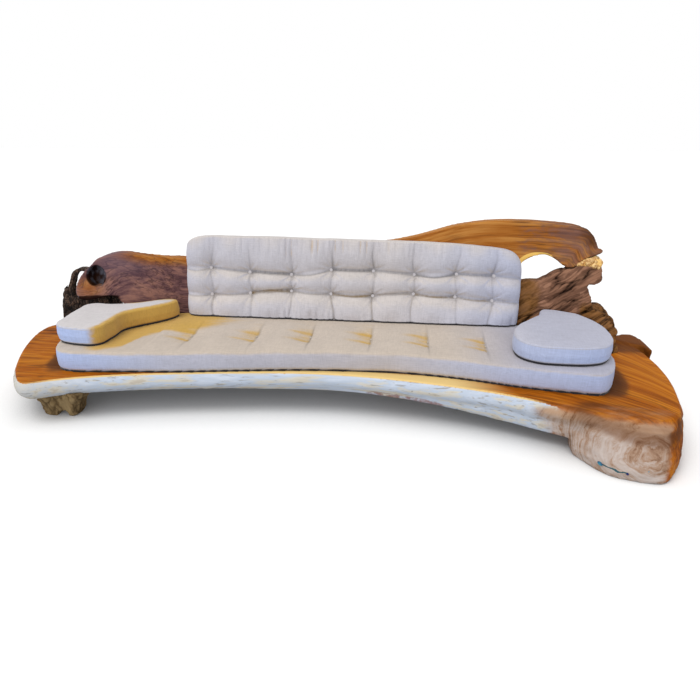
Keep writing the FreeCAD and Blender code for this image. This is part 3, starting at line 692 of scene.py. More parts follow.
@dataclass(frozen=True)
class SlabTimber(RootTimber):
    """The slab's wood: streaked heartwood above, a pale live edge in front and curls on the root foot.

    The mesh also paints "sap" for the live edge, "swirl" for the curls, "rim" for the pale line above
    the live edge, "rind" for the reddish inner bark and "dusk" for darker patches, which on the deck
    beside the seat cushion's ends are painted shade.
    """

    sap: Colour = (0.48, 0.545, 0.65)
    sap_white: Colour = (0.58, 0.63, 0.72)
    sap_warm: Colour = (0.60, 0.57, 0.50)
    sap_tan: Colour = (0.50, 0.45, 0.38)
    sap_mark: Colour = (0.26, 0.24, 0.22)
    sap_cream: Colour = (0.56, 0.51, 0.42)
    cream_end: Band = (-1.95, -1.25)
    rim: Colour = (0.74, 0.53, 0.22)
    rim_low: float = 0.2560
    rim_soft: float = 0.004
    # The darkest brown of the darker patches, which beside the seat cushion's ends are painted shade.
    shade: Colour = (0.105, 0.034, 0.009)
    curl_white: Colour = (0.56, 0.50, 0.47)
    curl_pale: Colour = (0.46, 0.375, 0.33)
    curl_tan: Colour = (0.34, 0.215, 0.145)
    curl_dark: Colour = (0.145, 0.066, 0.036)
    curl_brown: Colour = (0.150, 0.070, 0.036)
    curl_fawn: Colour = (0.42, 0.250, 0.140)
    curl_centre: tuple[float, float, float] = (1.745, -0.60, 0.115)
    curl_squash: tuple[float, float, float] = (0.9, 0.9, 1.3)
    brown_from: Band = (0.150, 0.235)
    rind: Colour = (0.27, 0.125, 0.105)
    # The darkest colour of the painted shade in the root foot's cracks and beside the seat cushion's ends.
    crevice: Colour = (0.12, 0.09, 0.08)
    crack_fill: Colour = (0.035, 0.10, 0.12)
    crack: tuple[Spot, Spot] = ((1.5, 0.10), (1.6, 0.08))
    crack_half: float = 2.2 * MM
    crack_soft: float = 2.2
    relief: float = 0.0014
    patchiness: float = 0.14

    def crack_line(self, desk: Desk) -> Wire:
        """Draws the thin resin-filled crack across the root foot, in elevation.

        Args:
            desk: the material under construction.

        Returns:
            1 in the crack and 0 beside it.
        """
        place = desk.place()
        x, _, z = desk.axes(desk.added(place, desk.cloud_vector(place, 30.0, 3.0, 0.022)))
        (ax, az), (bx, bz) = self.crack
        dx, dz = bx - ax, bz - az
        share = (((x - ax) * dx + (z - az) * dz) * (1.0 / (dx * dx + dz * dz))).clamped()
        off_x = x - ax - share * dx
        off_z = z - az - share * dz
        far = (off_x * off_x + off_z * off_z) ** 0.5
        return 1.0 - far.ramp(self.crack_half, self.crack_half * self.crack_soft)

    def live_edge(self, desk: Desk) -> tuple[Wire, Wire]:
        """Draws the bluish-white outer wood of the front face, with fine lines and specks.

        Args:
            desk: the material under construction.

        Returns:
            The wood's colour and its height.
        """
        place = desk.place()
        cloudy = desk.cloud(desk.drawn_out(place, 0.10), 26.0, 4.0, 0.6)
        stops = ((0.31, self.sap_tan), (0.40, self.sap_warm), (0.51, self.sap), (0.68, self.sap_white))
        colour = desk.tones(cloudy, stops)
        leftward = 1.0 - desk.axes(place)[0].ramp(*self.cream_end)
        colour = desk.mix(leftward * cloudy.ramp(0.30, 0.62), colour, self.sap_cream)
        lines = desk.cloud(desk.stretched(place, (0.05, 1.0, 1.0), (5.0, 0.0, 2.0)), 60.0, 3.0, 0.6)
        specks = desk.cloud(desk.drawn_out(place, 0.4), 70.0, 2.0, 0.6).ramp(0.68, 0.76)
        marks = (lines.ramp(0.57, 0.70) * 0.7 + specks * 0.8).clamped()
        return desk.mix(marks, colour, self.sap_mark), lines

    def curls(self, desk: Desk) -> tuple[Wire, Wire]:
        """Draws fine dark lines that curl round a point on the root foot's front, over cloudy tan wood.

        Args:
            desk: the material under construction.

        Returns:
            The wood's colour and its height.
        """
        place = desk.added(desk.place(), desk.cloud_vector(desk.place(), 2.6, 3.0, 0.20))
        back = tuple(-middle * squash for middle, squash in zip(self.curl_centre, self.curl_squash))
        offset = desk.stretched(place, self.curl_squash, back)
        reach = desk.node("ShaderNodeVectorMath", {"operation": "LENGTH"}, {0: offset}, "Value")
        wobble = desk.cloud(place, 9.0, 4.0, 0.6)
        lines = desk.cloud(desk.vector(reach, wobble * 0.10, 0.3), 34.0, 4.0, 0.6)
        fine = desk.cloud(desk.vector(reach, wobble * 0.05, 2.0), 120.0, 3.0, 0.65)
        broad = desk.cloud(place, 5.0, 4.0, 0.6)
        tone = lines * 0.50 + fine * 0.30 + broad * 0.32
        colours = (self.curl_dark, self.curl_tan, self.curl_pale, self.curl_white)
        return desk.tones(tone, tuple(zip((0.44, 0.51, 0.60, 0.74), colours))), tone

    def foot_colour(self, desk: Desk, dusk: Wire, jitter: Wire) -> tuple[Wire, Wire]:
        """Draws the root foot's face, browner towards the deck.

        Args:
            desk: the material under construction.
            dusk: where the face is painted darker.
            jitter: noise about zero that frays the border.

        Returns:
            The face's colour and its height.
        """
        curl, height = self.curls(desk)
        upward = (desk.axes(desk.place())[2] + jitter * 0.06).ramp(*self.brown_from)
        brown = desk.mix(height.ramp(0.40, 0.62), self.curl_brown, self.curl_fawn)
        curl = desk.mix(upward * 0.8, curl, brown)
        return desk.mix(dusk.ramp(0.1, 0.9) * 0.6, curl, self.curl_dark), height

    def build(self) -> Material:
        """Makes the material.

        Returns:
            The material.
        """
        desk = Desk(self.name)
        heart, height = self.heartwood(desk)
        edge, edge_height = self.live_edge(desk)
        jitter = (desk.cloud(desk.drawn_out(desk.place(), 0.35), 22.0, 4.0, 0.6) - 0.5) * 0.55
        # Darker patches, which beside the seat cushion's ends are painted shade, smoked in towards the
        # darkest brown.
        dusk = desk.painted("dusk")
        smoke = desk.cloud(desk.drawn_out(desk.painted_vector("grain"), 0.3), 15.0, 3.0, 0.6) - 0.5
        smoky = (dusk + smoke * 1.4 * dusk.ramp(0.0, 0.4)).ramp(0.1, 1.0)
        heart = desk.mix(smoky * 0.85, heart, self.shade)
        face, face_height = self.foot_colour(desk, dusk, jitter)
        sap = (desk.painted("sap") + jitter).ramp(0.38, 0.60)
        swirl = desk.painted("swirl")
        swirl = (swirl + jitter * swirl.ramp(0.0, 0.2)).ramp(0.20, 0.90)
        frayed = desk.axes(desk.place())[2] + jitter * 0.006
        rim = desk.painted("rim") * frayed.ramp(self.rim_low, self.rim_low + self.rim_soft)
        rind = (desk.painted("rind") + jitter).ramp(0.45, 0.62)
        flakes = desk.cloud(desk.place(), 34.0, 3.0, 0.6).ramp(0.30, 0.62)
        colour = desk.mix(sap, heart, edge)
        colour = desk.mix(swirl, colour, face)
        colour = desk.mix(rim, colour, self.rim)
        colour = desk.mix(rind * flakes * 0.8, colour, self.rind)
        colour = desk.mix(self.crack_line(desk) * swirl.ramp(0.2, 0.6), colour, self.crack_fill)
        # Painted shade in the root foot's cracks and on the deck beside the seat cushion's ends.
        colour = desk.shaded(colour, desk.painted("hollow").ramp(0.2, 1.0), self.crevice)
        relief = height * (1.0 - swirl) + face_height * swirl * 0.6 + edge_height * sap * 0.5
        return self.oiled(desk, colour, sap * 0.22, desk.bump(relief, self.relief, 0.6))


@dataclass(frozen=True)
class PlankTimber(RootTimber):
    """The plank's wood: purplish brown at the left, golden along the branch and dark at its end.

    The mesh also paints "warm" for the golden wood, "bloom" for the violet part, "dusk" for the burnt
    end, "rim" for the pale line round the eye and "frost" for a painted bluish reflection on the left
    end face and painted glints in the knot hole.
    """

    gold_pale: Colour = (0.47, 0.205, 0.048)
    gold: Colour = (0.34, 0.115, 0.018)
    gold_dark: Colour = (0.19, 0.060, 0.010)
    gold_vein: Colour = (0.07, 0.028, 0.012)
    gold_scale: float = 42.0
    gold_stretch: float = 0.05
    burnt: Colour = (0.150, 0.082, 0.062)
    rim: Colour = (0.80, 0.50, 0.13)
    # The colour of the painted bluish reflection and glints.
    frost: Colour = (0.50, 0.55, 0.70)
    bloom: Colour = (0.135, 0.092, 0.125)
    # The darkest colour of the painted shade in the knot hole and at the ends.
    crevice: Colour = (0.09, 0.075, 0.07)
    relief: float = 0.0011

    def build(self) -> Material:
        """Makes the material.

        Returns:
            The material.
        """
        desk = Desk(self.name)
        violet, height = self.heartwood(desk)
        golden = RootTimber(
            "golden_wood",
            pale=self.gold_pale,
            middle=self.gold,
            dark=self.gold_dark,
            vein=self.gold_vein,
            streak_scale=self.gold_scale,
            stretch=self.gold_stretch,
            vein_share=self.vein_share,
            wander=self.wander,
        )
        gold, gold_height = golden.heartwood(desk)
        jitter = (desk.cloud(desk.drawn_out(desk.place(), 0.4), 14.0, 4.0, 0.6) - 0.5) * 0.6
        warm = (desk.painted("warm") + jitter * 0.6).ramp(0.10, 0.90)
        violet = desk.mix((desk.painted("bloom") + jitter).clamped() * 0.6, violet, self.bloom)
        colour = desk.mix(warm, violet, gold)
        grain = desk.painted_vector("grain")
        bent = desk.added(grain, desk.cloud_vector(grain, 5.0, 3.0, 0.12))
        smoke = desk.cloud(desk.drawn_out(bent, 0.35), 24.0, 4.0, 0.6) - 0.5
        dusk = desk.painted("dusk")
        smoky = (dusk * 0.9 + smoke * 2.0 * dusk.ramp(0.05, 0.4)).ramp(0.20, 0.95) * 0.8
        colour = desk.mix(smoky, colour, desk.mix(0.5, self.burnt, violet))
        colour = desk.mix((desk.painted("rim") + jitter * 0.5).ramp(0.42, 0.60), colour, self.rim)
        # Painted shade inside the knot hole, under the left end and at and under the branch's end.
        hollow = desk.painted("hollow")
        colour = desk.shaded(colour, hollow.ramp(0.1, 0.8), self.crevice)
        # A painted bluish reflection on the left end face and painted glints in the knot hole.
        colour = desk.mix(desk.painted("frost") * 0.8, colour, self.frost)
        relief = height * (1.0 - warm) + gold_height * warm
        return self.oiled(desk, colour, hollow * 0.3, desk.bump(relief, self.relief, 0.6))


@dataclass(frozen=True)
class WeatheredTimber(RootTimber):
    """Grooved root wood with furrows darkened by painted shade, worn pale ridges and yellow burl knobs.

    The mesh also paints "crest" for the ridges, "gild" for the golden patches and "knob" for the burl.
    """

    ridge: Colour = (0.36, 0.19, 0.12)
    burl: Colour = (0.86, 0.56, 0.20)
    burl_shade: Colour = (0.42, 0.19, 0.05)
    gilt: Colour = (0.24, 0.105, 0.022)
    gilt_gain: float = 1.6
    crevice: Colour = (0.035, 0.028, 0.025)
    relief: float = 0.004

    def build(self) -> Material:
        """Makes the material.

        Returns:
            The material.
        """
        desk = Desk(self.name)
        place = desk.place()
        colour, height = self.heartwood(desk)
        worn = (desk.painted("crest") + (desk.cloud(place, 30.0, 4.0) - 0.5) * 0.9).ramp(0.55, 1.0)
        colour = desk.mix(worn * 0.75, colour, self.ridge)
        golden = (desk.painted("gild") + (desk.cloud(place, 14.0, 3.0) - 0.5) * 0.8).ramp(0.3, 0.9)
        streaks = height * self.gilt_gain
        gold = desk.mix(1.0, desk.vector(streaks, streaks, streaks), self.gilt, "MULTIPLY")
        colour = desk.mix(golden * 0.75, colour, gold)
        grit = desk.cloud(place, 55.0, 4.0, 0.6)
        knobs = desk.tones(grit, ((0.36, self.burl_shade), (0.55, self.burl)))
        colour = desk.mix(desk.painted("knob").ramp(0.3, 0.7), colour, knobs)
        # Painted shade in the furrows and gaps.
        hollow = desk.painted("hollow")
        colour = desk.shaded(colour, hollow.ramp(0.1, 0.9), self.crevice)
        roughness = 0.18 * desk.cloud(place, 12.0, 3.0) + self.shine + hollow * 0.25
        normal = desk.bump(height, self.relief, 0.9)
        return desk.finish(colour, roughness, normal, Specular_IOR_Level=self.gloss)


@dataclass(frozen=True)
class Bark:
    """Near-black furrowed bark with brown scales."""

    name: str = "furrowed_bark"
    plate: Colour = (0.085, 0.052, 0.036)
    scale: Colour = (0.19, 0.125, 0.085)
    furrow: Colour = (0.010, 0.007, 0.006)
    crevice: Colour = (0.07, 0.06, 0.06)
    tallness: float = 0.42
    relief: float = 0.006
    gloss: float = 0.25

    def build(self) -> Material:
        """Makes the material.

        Returns:
            The material.
        """
        desk = Desk(self.name)
        place = desk.added(desk.place(), desk.cloud_vector(desk.place(), 14.0, 3.0, 0.03))
        tall = desk.stretched(place, (1.0, 1.0, self.tallness))
        patches = desk.cell_borders(tall, 62.0)
        grit = desk.cloud(place, 120.0, 4.0, 0.65)
        tone = desk.cloud(tall, 34.0, 4.0, 0.6)
        colour = desk.tones(tone, ((0.34, self.furrow), (0.50, self.plate), (0.70, self.scale)))
        colour = desk.mix(1.0 - patches.ramp(0.0, 0.16), colour, self.furrow)
        # Painted shade in the furrows.
        colour = desk.shaded(colour, desk.painted("hollow").ramp(0.1, 0.9), self.crevice)
        height = patches.ramp(0.0, 0.3) * 0.6 + grit * 0.4
        normal = desk.bump(height, self.relief, 0.9)
        return desk.finish(colour, 0.78 + grit * 0.15, normal, Specular_IOR_Level=self.gloss)


@dataclass(frozen=True)
class PlainFinish:
    """A small part's finish: one colour with cloudy variation and fine scratches or fibres."""

    name: str
    colour: Colour
    second: Colour
    scale: float
    rough: float
    metallic: float = 0.0
    stretch: tuple[float, float, float] = (1.0, 1.0, 1.0)
    depth: float = 0.0004
    stops: Band = (0.36, 0.62)
    fine_share: float = 5.0

    def build(self) -> Material:
        """Makes the material.

        Returns:
            The material.
        """
        desk = Desk(self.name)
        place = desk.stretched(desk.place(), self.stretch)
        tone = desk.cloud(place, self.scale, 4.0, 0.6)
        colour = desk.tones(tone, tuple(zip(self.stops, (self.second, self.colour))))
        fine = desk.cloud(place, self.scale * self.fine_share, 2.0)
        roughness = self.rough + (fine - 0.5) * 0.2
        return desk.finish(colour, roughness, desk.bump(fine, self.depth, 0.6), Metallic=self.metallic)


@dataclass(frozen=True)
class Resin:
    """Poured glossy resin, dark blue with teal at the crack's end."""

    name: str = "poured_resin"
    deep: Colour = (0.006, 0.012, 0.11)
    teal: Colour = (0.03, 0.26, 0.36)
    coat: float = 0.5

    def build(self) -> Material:
        """Makes the material.

        Returns:
            The material.
        """
        desk = Desk(self.name)
        tone = desk.cloud(desk.place(), 13.0, 2.0)
        colour = desk.tones(tone, ((0.44, self.deep), (0.58, self.teal)))
        clouding = desk.cloud(desk.place(), 160.0, 2.0)
        normal = desk.bump(clouding, 0.0002, 0.4)
        return desk.finish(colour, 0.10 + clouding * 0.12, normal, Coat_Weight=self.coat)


@dataclass(frozen=True)
class Linen:
    """Plain-woven oatmeal linen with slubs, with painted bluish light on its upright sides.

    The mesh paints "ochre" for painted warm light and shade, "cool" for painted bluish light on the
    upright sides, "cold" for painted bluish shade towards the right end, "lay" for painted warm light
    over a whole cushion, "fold" for painted shade in creases and "lining" for painted contact shade
    along the bottom.
    """

    name: str = "oatmeal_linen"
    cloth: Colour = (0.60, 0.57, 0.575)
    # The warm, bluish, grey-blue, ochre and near-black tints are painted light and shade.
    warm: Colour = (0.52, 0.430, 0.34)
    cool: Colour = (0.42, 0.53, 0.84)
    cold: Colour = (0.375, 0.395, 0.52)
    # The colour of the painted warm light and shade.
    ochre: Colour = (0.56, 0.33, 0.045)
    # The colour of the painted contact shade along the bottom edge.
    lining: Colour = (0.022, 0.020, 0.024)
    thread: float = 620.0
    crease_dark: float = 0.56
    relief: float = 0.0010
    sheen: float = 0.18
    sheen_roughness: float = 0.6
    gloss: float = 0.03

    def tinted(self, desk: Desk) -> Wire:
        """Draws the cloth's colour, with its painted light and shade, before its weave.

        Args:
            desk: the material under construction.

        Returns:
            The colour.
        """
        # Painted warm light over the cushion, painted bluish light on its upright sides and painted bluish
        # shade towards the right end.
        base = desk.mix(desk.painted("lay").clamped(), self.cloth, self.warm)
        base = desk.mix(desk.painted("cool").clamped(), base, self.cool)
        base = desk.mix(desk.painted("cold").clamped(), base, self.cold)
        # Painted warm light and shade in ochre, frayed by streaks.
        streaks = desk.cloud(desk.drawn_out(desk.place(), 0.25), 26.0, 4.0, 0.65) - 0.5
        ochre = desk.painted("ochre")
        ochre_light = ochre + streaks * 0.9 * ochre.ramp(0.0, 0.5)
        base = desk.mix(ochre_light.ramp(0.12, 0.95) * 0.95, base, self.ochre)
        # Painted contact shade along the bottom edge.
        return desk.mix(desk.painted("lining"), base, self.lining)

    def build(self) -> Material:
        """Makes the material.

        Returns:
            The material.
        """
        desk = Desk(self.name)
        place = desk.place()
        x, y, z = desk.axes(place)
        turns = self.thread * math.pi
        weft = desk.math("SINE", (y * 0.55 + z) * turns + desk.cloud(place, 60.0, 2.0) * 5.0)
        warp = desk.math("SINE", x * turns + desk.cloud(place, 55.0, 2.0) * 5.0)
        slub_across = desk.cloud(desk.drawn_out(place, 0.05), 210.0, 3.0, 0.7)
        slub_up = desk.cloud(desk.stretched(place, (1.0, 0.12, 0.10), (2.0, 1.0, 5.0)), 190.0, 3.0, 0.7)
        mottle = desk.cloud(place, 7.0, 4.0, 0.6)
        slubs = (slub_across - 0.5) * 0.42 + (slub_up - 0.5) * 0.34
        weave = 0.93 + slubs + (mottle - 0.5) * 0.14 + (weft + warp) * 0.012
        # Painted shade in the creases.
        weave = weave * (1.0 - desk.painted("fold").clamped() * self.crease_dark)
        colour = desk.mix(1.0, self.tinted(desk), desk.vector(weave, weave, weave), "MULTIPLY")
        height = slub_across * 0.35 + slub_up * 0.35 + (weft + warp) * 0.12
        return desk.finish(
            colour,
            0.93,
            desk.bump(height, self.relief, 0.55),
            Sheen_Weight=self.sheen,
            Sheen_Roughness=self.sheen_roughness,
            Specular_IOR_Level=self.gloss,
        )


# Geometry Nodes


class Graph:
    """A Geometry Nodes tree under construction, with named inputs.

    A Random Value node shows sockets for each kind of data, so its numbers go by their places.
    """

    LEAST = 2
    MOST = 3
    SEED = 8
    NUMBER = 1

    def __init__(self, name: str, material: Material) -> None:
        """Starts a tree that takes and gives geometry.

        Args:
            name: the tree's name.
            material: what all that it grows is made of.
        """
        self.tree = bpy.data.node_groups.new(name, "GeometryNodeTree")
        self.tree.is_modifier = True
        self.values: dict[str, object] = {}
        self.tree.interface.new_socket("Geometry", in_out="INPUT", socket_type="NodeSocketGeometry")
        self.tree.interface.new_socket("Geometry", in_out="OUTPUT", socket_type="NodeSocketGeometry")
        self.source = self.tree.nodes.new("NodeGroupInput")
        self.sink = self.tree.nodes.new("NodeGroupOutput")
        self.material = self.ask("Material", "Material", material)

    @property
    def given(self) -> bpy.types.NodeSocket:
        """The geometry that the tree is given."""
        return self.source.outputs[0]

    def ask(self, label: str, kind: str, value: object) -> bpy.types.NodeSocket:
        """Adds a named input.

        Args:
            label: the input's name.
            kind: the end of its socket type's name, such as Float.
            value: what the modifier gives it.

        Returns:
            The socket that carries it in the tree.
        """
        item = self.tree.interface.new_socket(label, in_out="INPUT", socket_type="NodeSocket" + kind)
        self.values[item.identifier] = value
        return self.source.outputs[label]

    def add(self, kind: str, inputs: dict, settings: dict | None = None) -> bpy.types.Node:
        """Adds one node.

        Args:
            kind: the node's type.
            inputs: value or socket for each input's index or name.
            settings: its settings.

        Returns:
            The node.
        """
        made = self.tree.nodes.new(kind)
        for name, value in (settings or {}).items():
            setattr(made, name, value)
        for key, value in inputs.items():
            if isinstance(value, bpy.types.NodeSocket):
                self.tree.links.new(value, made.inputs[key])
            else:
                made.inputs[key].default_value = value
        return made

    def grow(self, thing: Thing, geometry: bpy.types.NodeSocket) -> None:
        """Ends the tree in real faces with its material and turns the object into them.

        Args:
            thing: the object that the tree is given.
            geometry: the socket with all that was grown.
        """
        real = self.add("GeometryNodeRealizeInstances", {"Geometry": geometry})
        finish = {"Geometry": real.outputs[0], "Material": self.material}
        dressed = self.add("GeometryNodeSetMaterial", finish)
        self.tree.links.new(dressed.outputs[0], self.sink.inputs[0])
        modifier = thing.modifiers.new(self.tree.name, "NODES")
        modifier.node_group = self.tree
        for identifier, value in self.values.items():
            modifier[identifier] = value
        settle(thing)
        thing.data.shade_smooth()


@dataclass(frozen=True)
class Growth:
    """Small lumps or scales that grow where a mesh paints "growth".

    The density is in pieces on a square metre, and the sizes are the least and largest share of the
    full size.
    """

    name: str
    reach: tuple[float, float, float]
    density: float
    apart: float
    sizes: tuple[float, float] = (0.6, 1.2)
    seed: int = 4
    lumpy: float = 0.25
    lump_scale: float = 1.6

    def seedling(self) -> Thing:
        """Makes one lump of full size, uneven all round.

        Returns:
            The lump.
        """
        mesh = bpy.data.meshes.new(self.name + "_seedling")
        work = bmesh.new()
        bmesh.ops.create_icosphere(work, subdivisions=2, radius=1.0)
        for vert in work.verts:
            vert.co *= 1.0 + self.lumpy * noise.noise(vert.co * self.lump_scale + Vector((self.seed, 0, 0)))
            vert.co = Vector(part * reach for part, reach in zip(vert.co, self.reach))
        work.to_mesh(mesh)
        work.free()
        return bpy.data.objects.new(mesh.name, mesh)

    def plant(self, host: Thing, material: Material) -> Thing:
        """Grows the lumps on a copy of a host.

        Args:
            host: the piece that they grow on.
            material: their finish.

        Returns:
            All lumps as one object.
        """
        thing = bpy.data.objects.new(self.name, host.data.copy())
        bpy.context.scene.collection.objects.link(thing)
        shape = self.seedling()
        graph = Graph(self.name, material)
        where = graph.add("GeometryNodeInputNamedAttribute", {"Name": "growth"}, {"data_type": "FLOAT"})
        scatter = {
            "Mesh": graph.given,
            "Distance Min": graph.ask("Least distance", "Float", self.apart),
            "Density Max": graph.ask("Density", "Float", self.density),
            "Density Factor": where.outputs[0],
            "Seed": graph.ask("Seed", "Int", self.seed),
        }
        spots = graph.add("GeometryNodeDistributePointsOnFaces", scatter, {"distribute_method": "POISSON"})
        least = graph.ask("Smallest", "Float", self.sizes[0])
        most = graph.ask("Largest", "Float", self.sizes[1])
        limits = {graph.LEAST: least, graph.MOST: most, graph.SEED: self.seed}
        size = graph.add("FunctionNodeRandomValue", limits, {"data_type": "FLOAT"})
        form = graph.add("GeometryNodeObjectInfo", {"Object": graph.ask("Shape", "Object", shape)})
        grown = graph.add(
            "GeometryNodeInstanceOnPoints",
            {
                "Points": spots.outputs["Points"],
                "Instance": form.outputs["Geometry"],
                "Rotation": spots.outputs["Rotation"],
                "Scale": size.outputs[graph.NUMBER],
            },
        )
        graph.grow(thing, grown.outputs[0])
        bpy.data.objects.remove(shape)
        return thing


@dataclass(frozen=True)
class Seam:
    """A welt along a cushion's edge, with a row of stitches beside it."""

    name: str
    heights: tuple[float, ...]
    welt: float = 1.7 * MM
    pitch: float = 9.0 * MM
    stitch: float = 0.8 * MM
    drop: float = 5.0 * MM
    even: float = 12.0 * MM
    long_share: float = 3.2
    flat_share: float = 0.90
    welt_sides: int = 8
    bead_sides: int = 6
    bead_rings: int = 5

    def loops(self, cushion: Thing) -> Thing:
        """Cuts the cushion's outlines at the seam's heights.

        Args:
            cushion: the cushion.

        Returns:
            An object of bare edges.
        """
        joined = bmesh.new()
        for height in self.heights:
            work = bmesh.new()
            work.from_mesh(cushion.data)
            flat = [face for face in work.faces if abs(face.normal.z) > self.flat_share]
            bmesh.ops.delete(work, geom=flat, context="FACES")
            whole = work.verts[:] + work.edges[:] + work.faces[:]
            cut = bmesh.ops.bisect_plane(work, geom=whole, plane_co=(0, 0, height), plane_no=(0, 0, 1))
            twin = {}
            for item in cut["geom_cut"]:
                if isinstance(item, bmesh.types.BMVert):
                    twin[item] = joined.verts.new(item.co)
            for item in cut["geom_cut"]:
                if isinstance(item, bmesh.types.BMEdge):
                    joined.edges.new([twin[vert] for vert in item.verts])
            work.free()
        mesh = bpy.data.meshes.new(self.name)
        joined.to_mesh(mesh)
        joined.free()
        thing = bpy.data.objects.new(self.name, mesh)
        bpy.context.scene.collection.objects.link(thing)
        return thing

    def sew(self, cushion: Thing, material: Material) -> Thing:
        """Runs the welt and its stitches round a cushion.

        Args:
            cushion: the cushion.
            material: its linen.

        Returns:
            The welt and the stitches as one object.
        """
        thing = self.loops(cushion)
        graph = Graph(self.name, material)
        path = graph.add("GeometryNodeMeshToCurve", {"Mesh": graph.given})
        by_length = {"mode": "LENGTH"}
        steps = {"Curve": path.outputs[0], "Length": graph.ask("Step", "Float", self.even)}
        even = graph.add("GeometryNodeResampleCurve", steps, by_length)
        outline = {"Resolution": self.welt_sides, "Radius": graph.ask("Welt radius", "Float", self.welt)}
        ring = graph.add("GeometryNodeCurvePrimitiveCircle", outline)
        both_curves = {"Curve": even.outputs[0], "Profile Curve": ring.outputs[0]}
        tube = graph.add("GeometryNodeCurveToMesh", both_curves)
        pitch = graph.ask("Stitch pitch", "Float", self.pitch)
        spots = graph.add("GeometryNodeCurveToPoints", {"Curve": even.outputs[0], "Length": pitch}, by_length)
        size = graph.ask("Stitch radius", "Float", self.stitch)
        ball = {"Segments": self.bead_sides, "Rings": self.bead_rings, "Radius": size}
        bead = graph.add("GeometryNodeMeshUVSphere", ball)
        sewn = graph.add(
            "GeometryNodeInstanceOnPoints",
            {
                "Points": spots.outputs["Points"],
                "Instance": bead.outputs[0],
                "Rotation": spots.outputs["Rotation"],
                "Scale": (1.0, 1.0, self.long_share),
            },
        )
        shift = graph.ask("Stitch drop", "Vector", (0.0, 0.0, -self.drop))
        lowered = graph.add("GeometryNodeTransform", {"Geometry": sewn.outputs[0], "Translation": shift})
        both = graph.add("GeometryNodeJoinGeometry", {})
        graph.tree.links.new(tube.outputs[0], both.inputs[0])
        graph.tree.links.new(lowered.outputs[0], both.inputs[0])
        graph.grow(thing, both.outputs[0])
        return thing


# Wooden pieces


def between_rows(x: Array, count: int) -> tuple[Array, Array, Array]:
    """Sorts points into even rows along the bench.

    Args:
        x: places along the bench.
        count: how many edges the rows have.

    Returns:
        Each point's row, the rows' first edges and their middles.
    """
    edges = np.linspace(x.min(), x.max(), count)
    return np.digitize(x, edges) - 1, edges, edges + (edges[1] - edges[0]) / 2


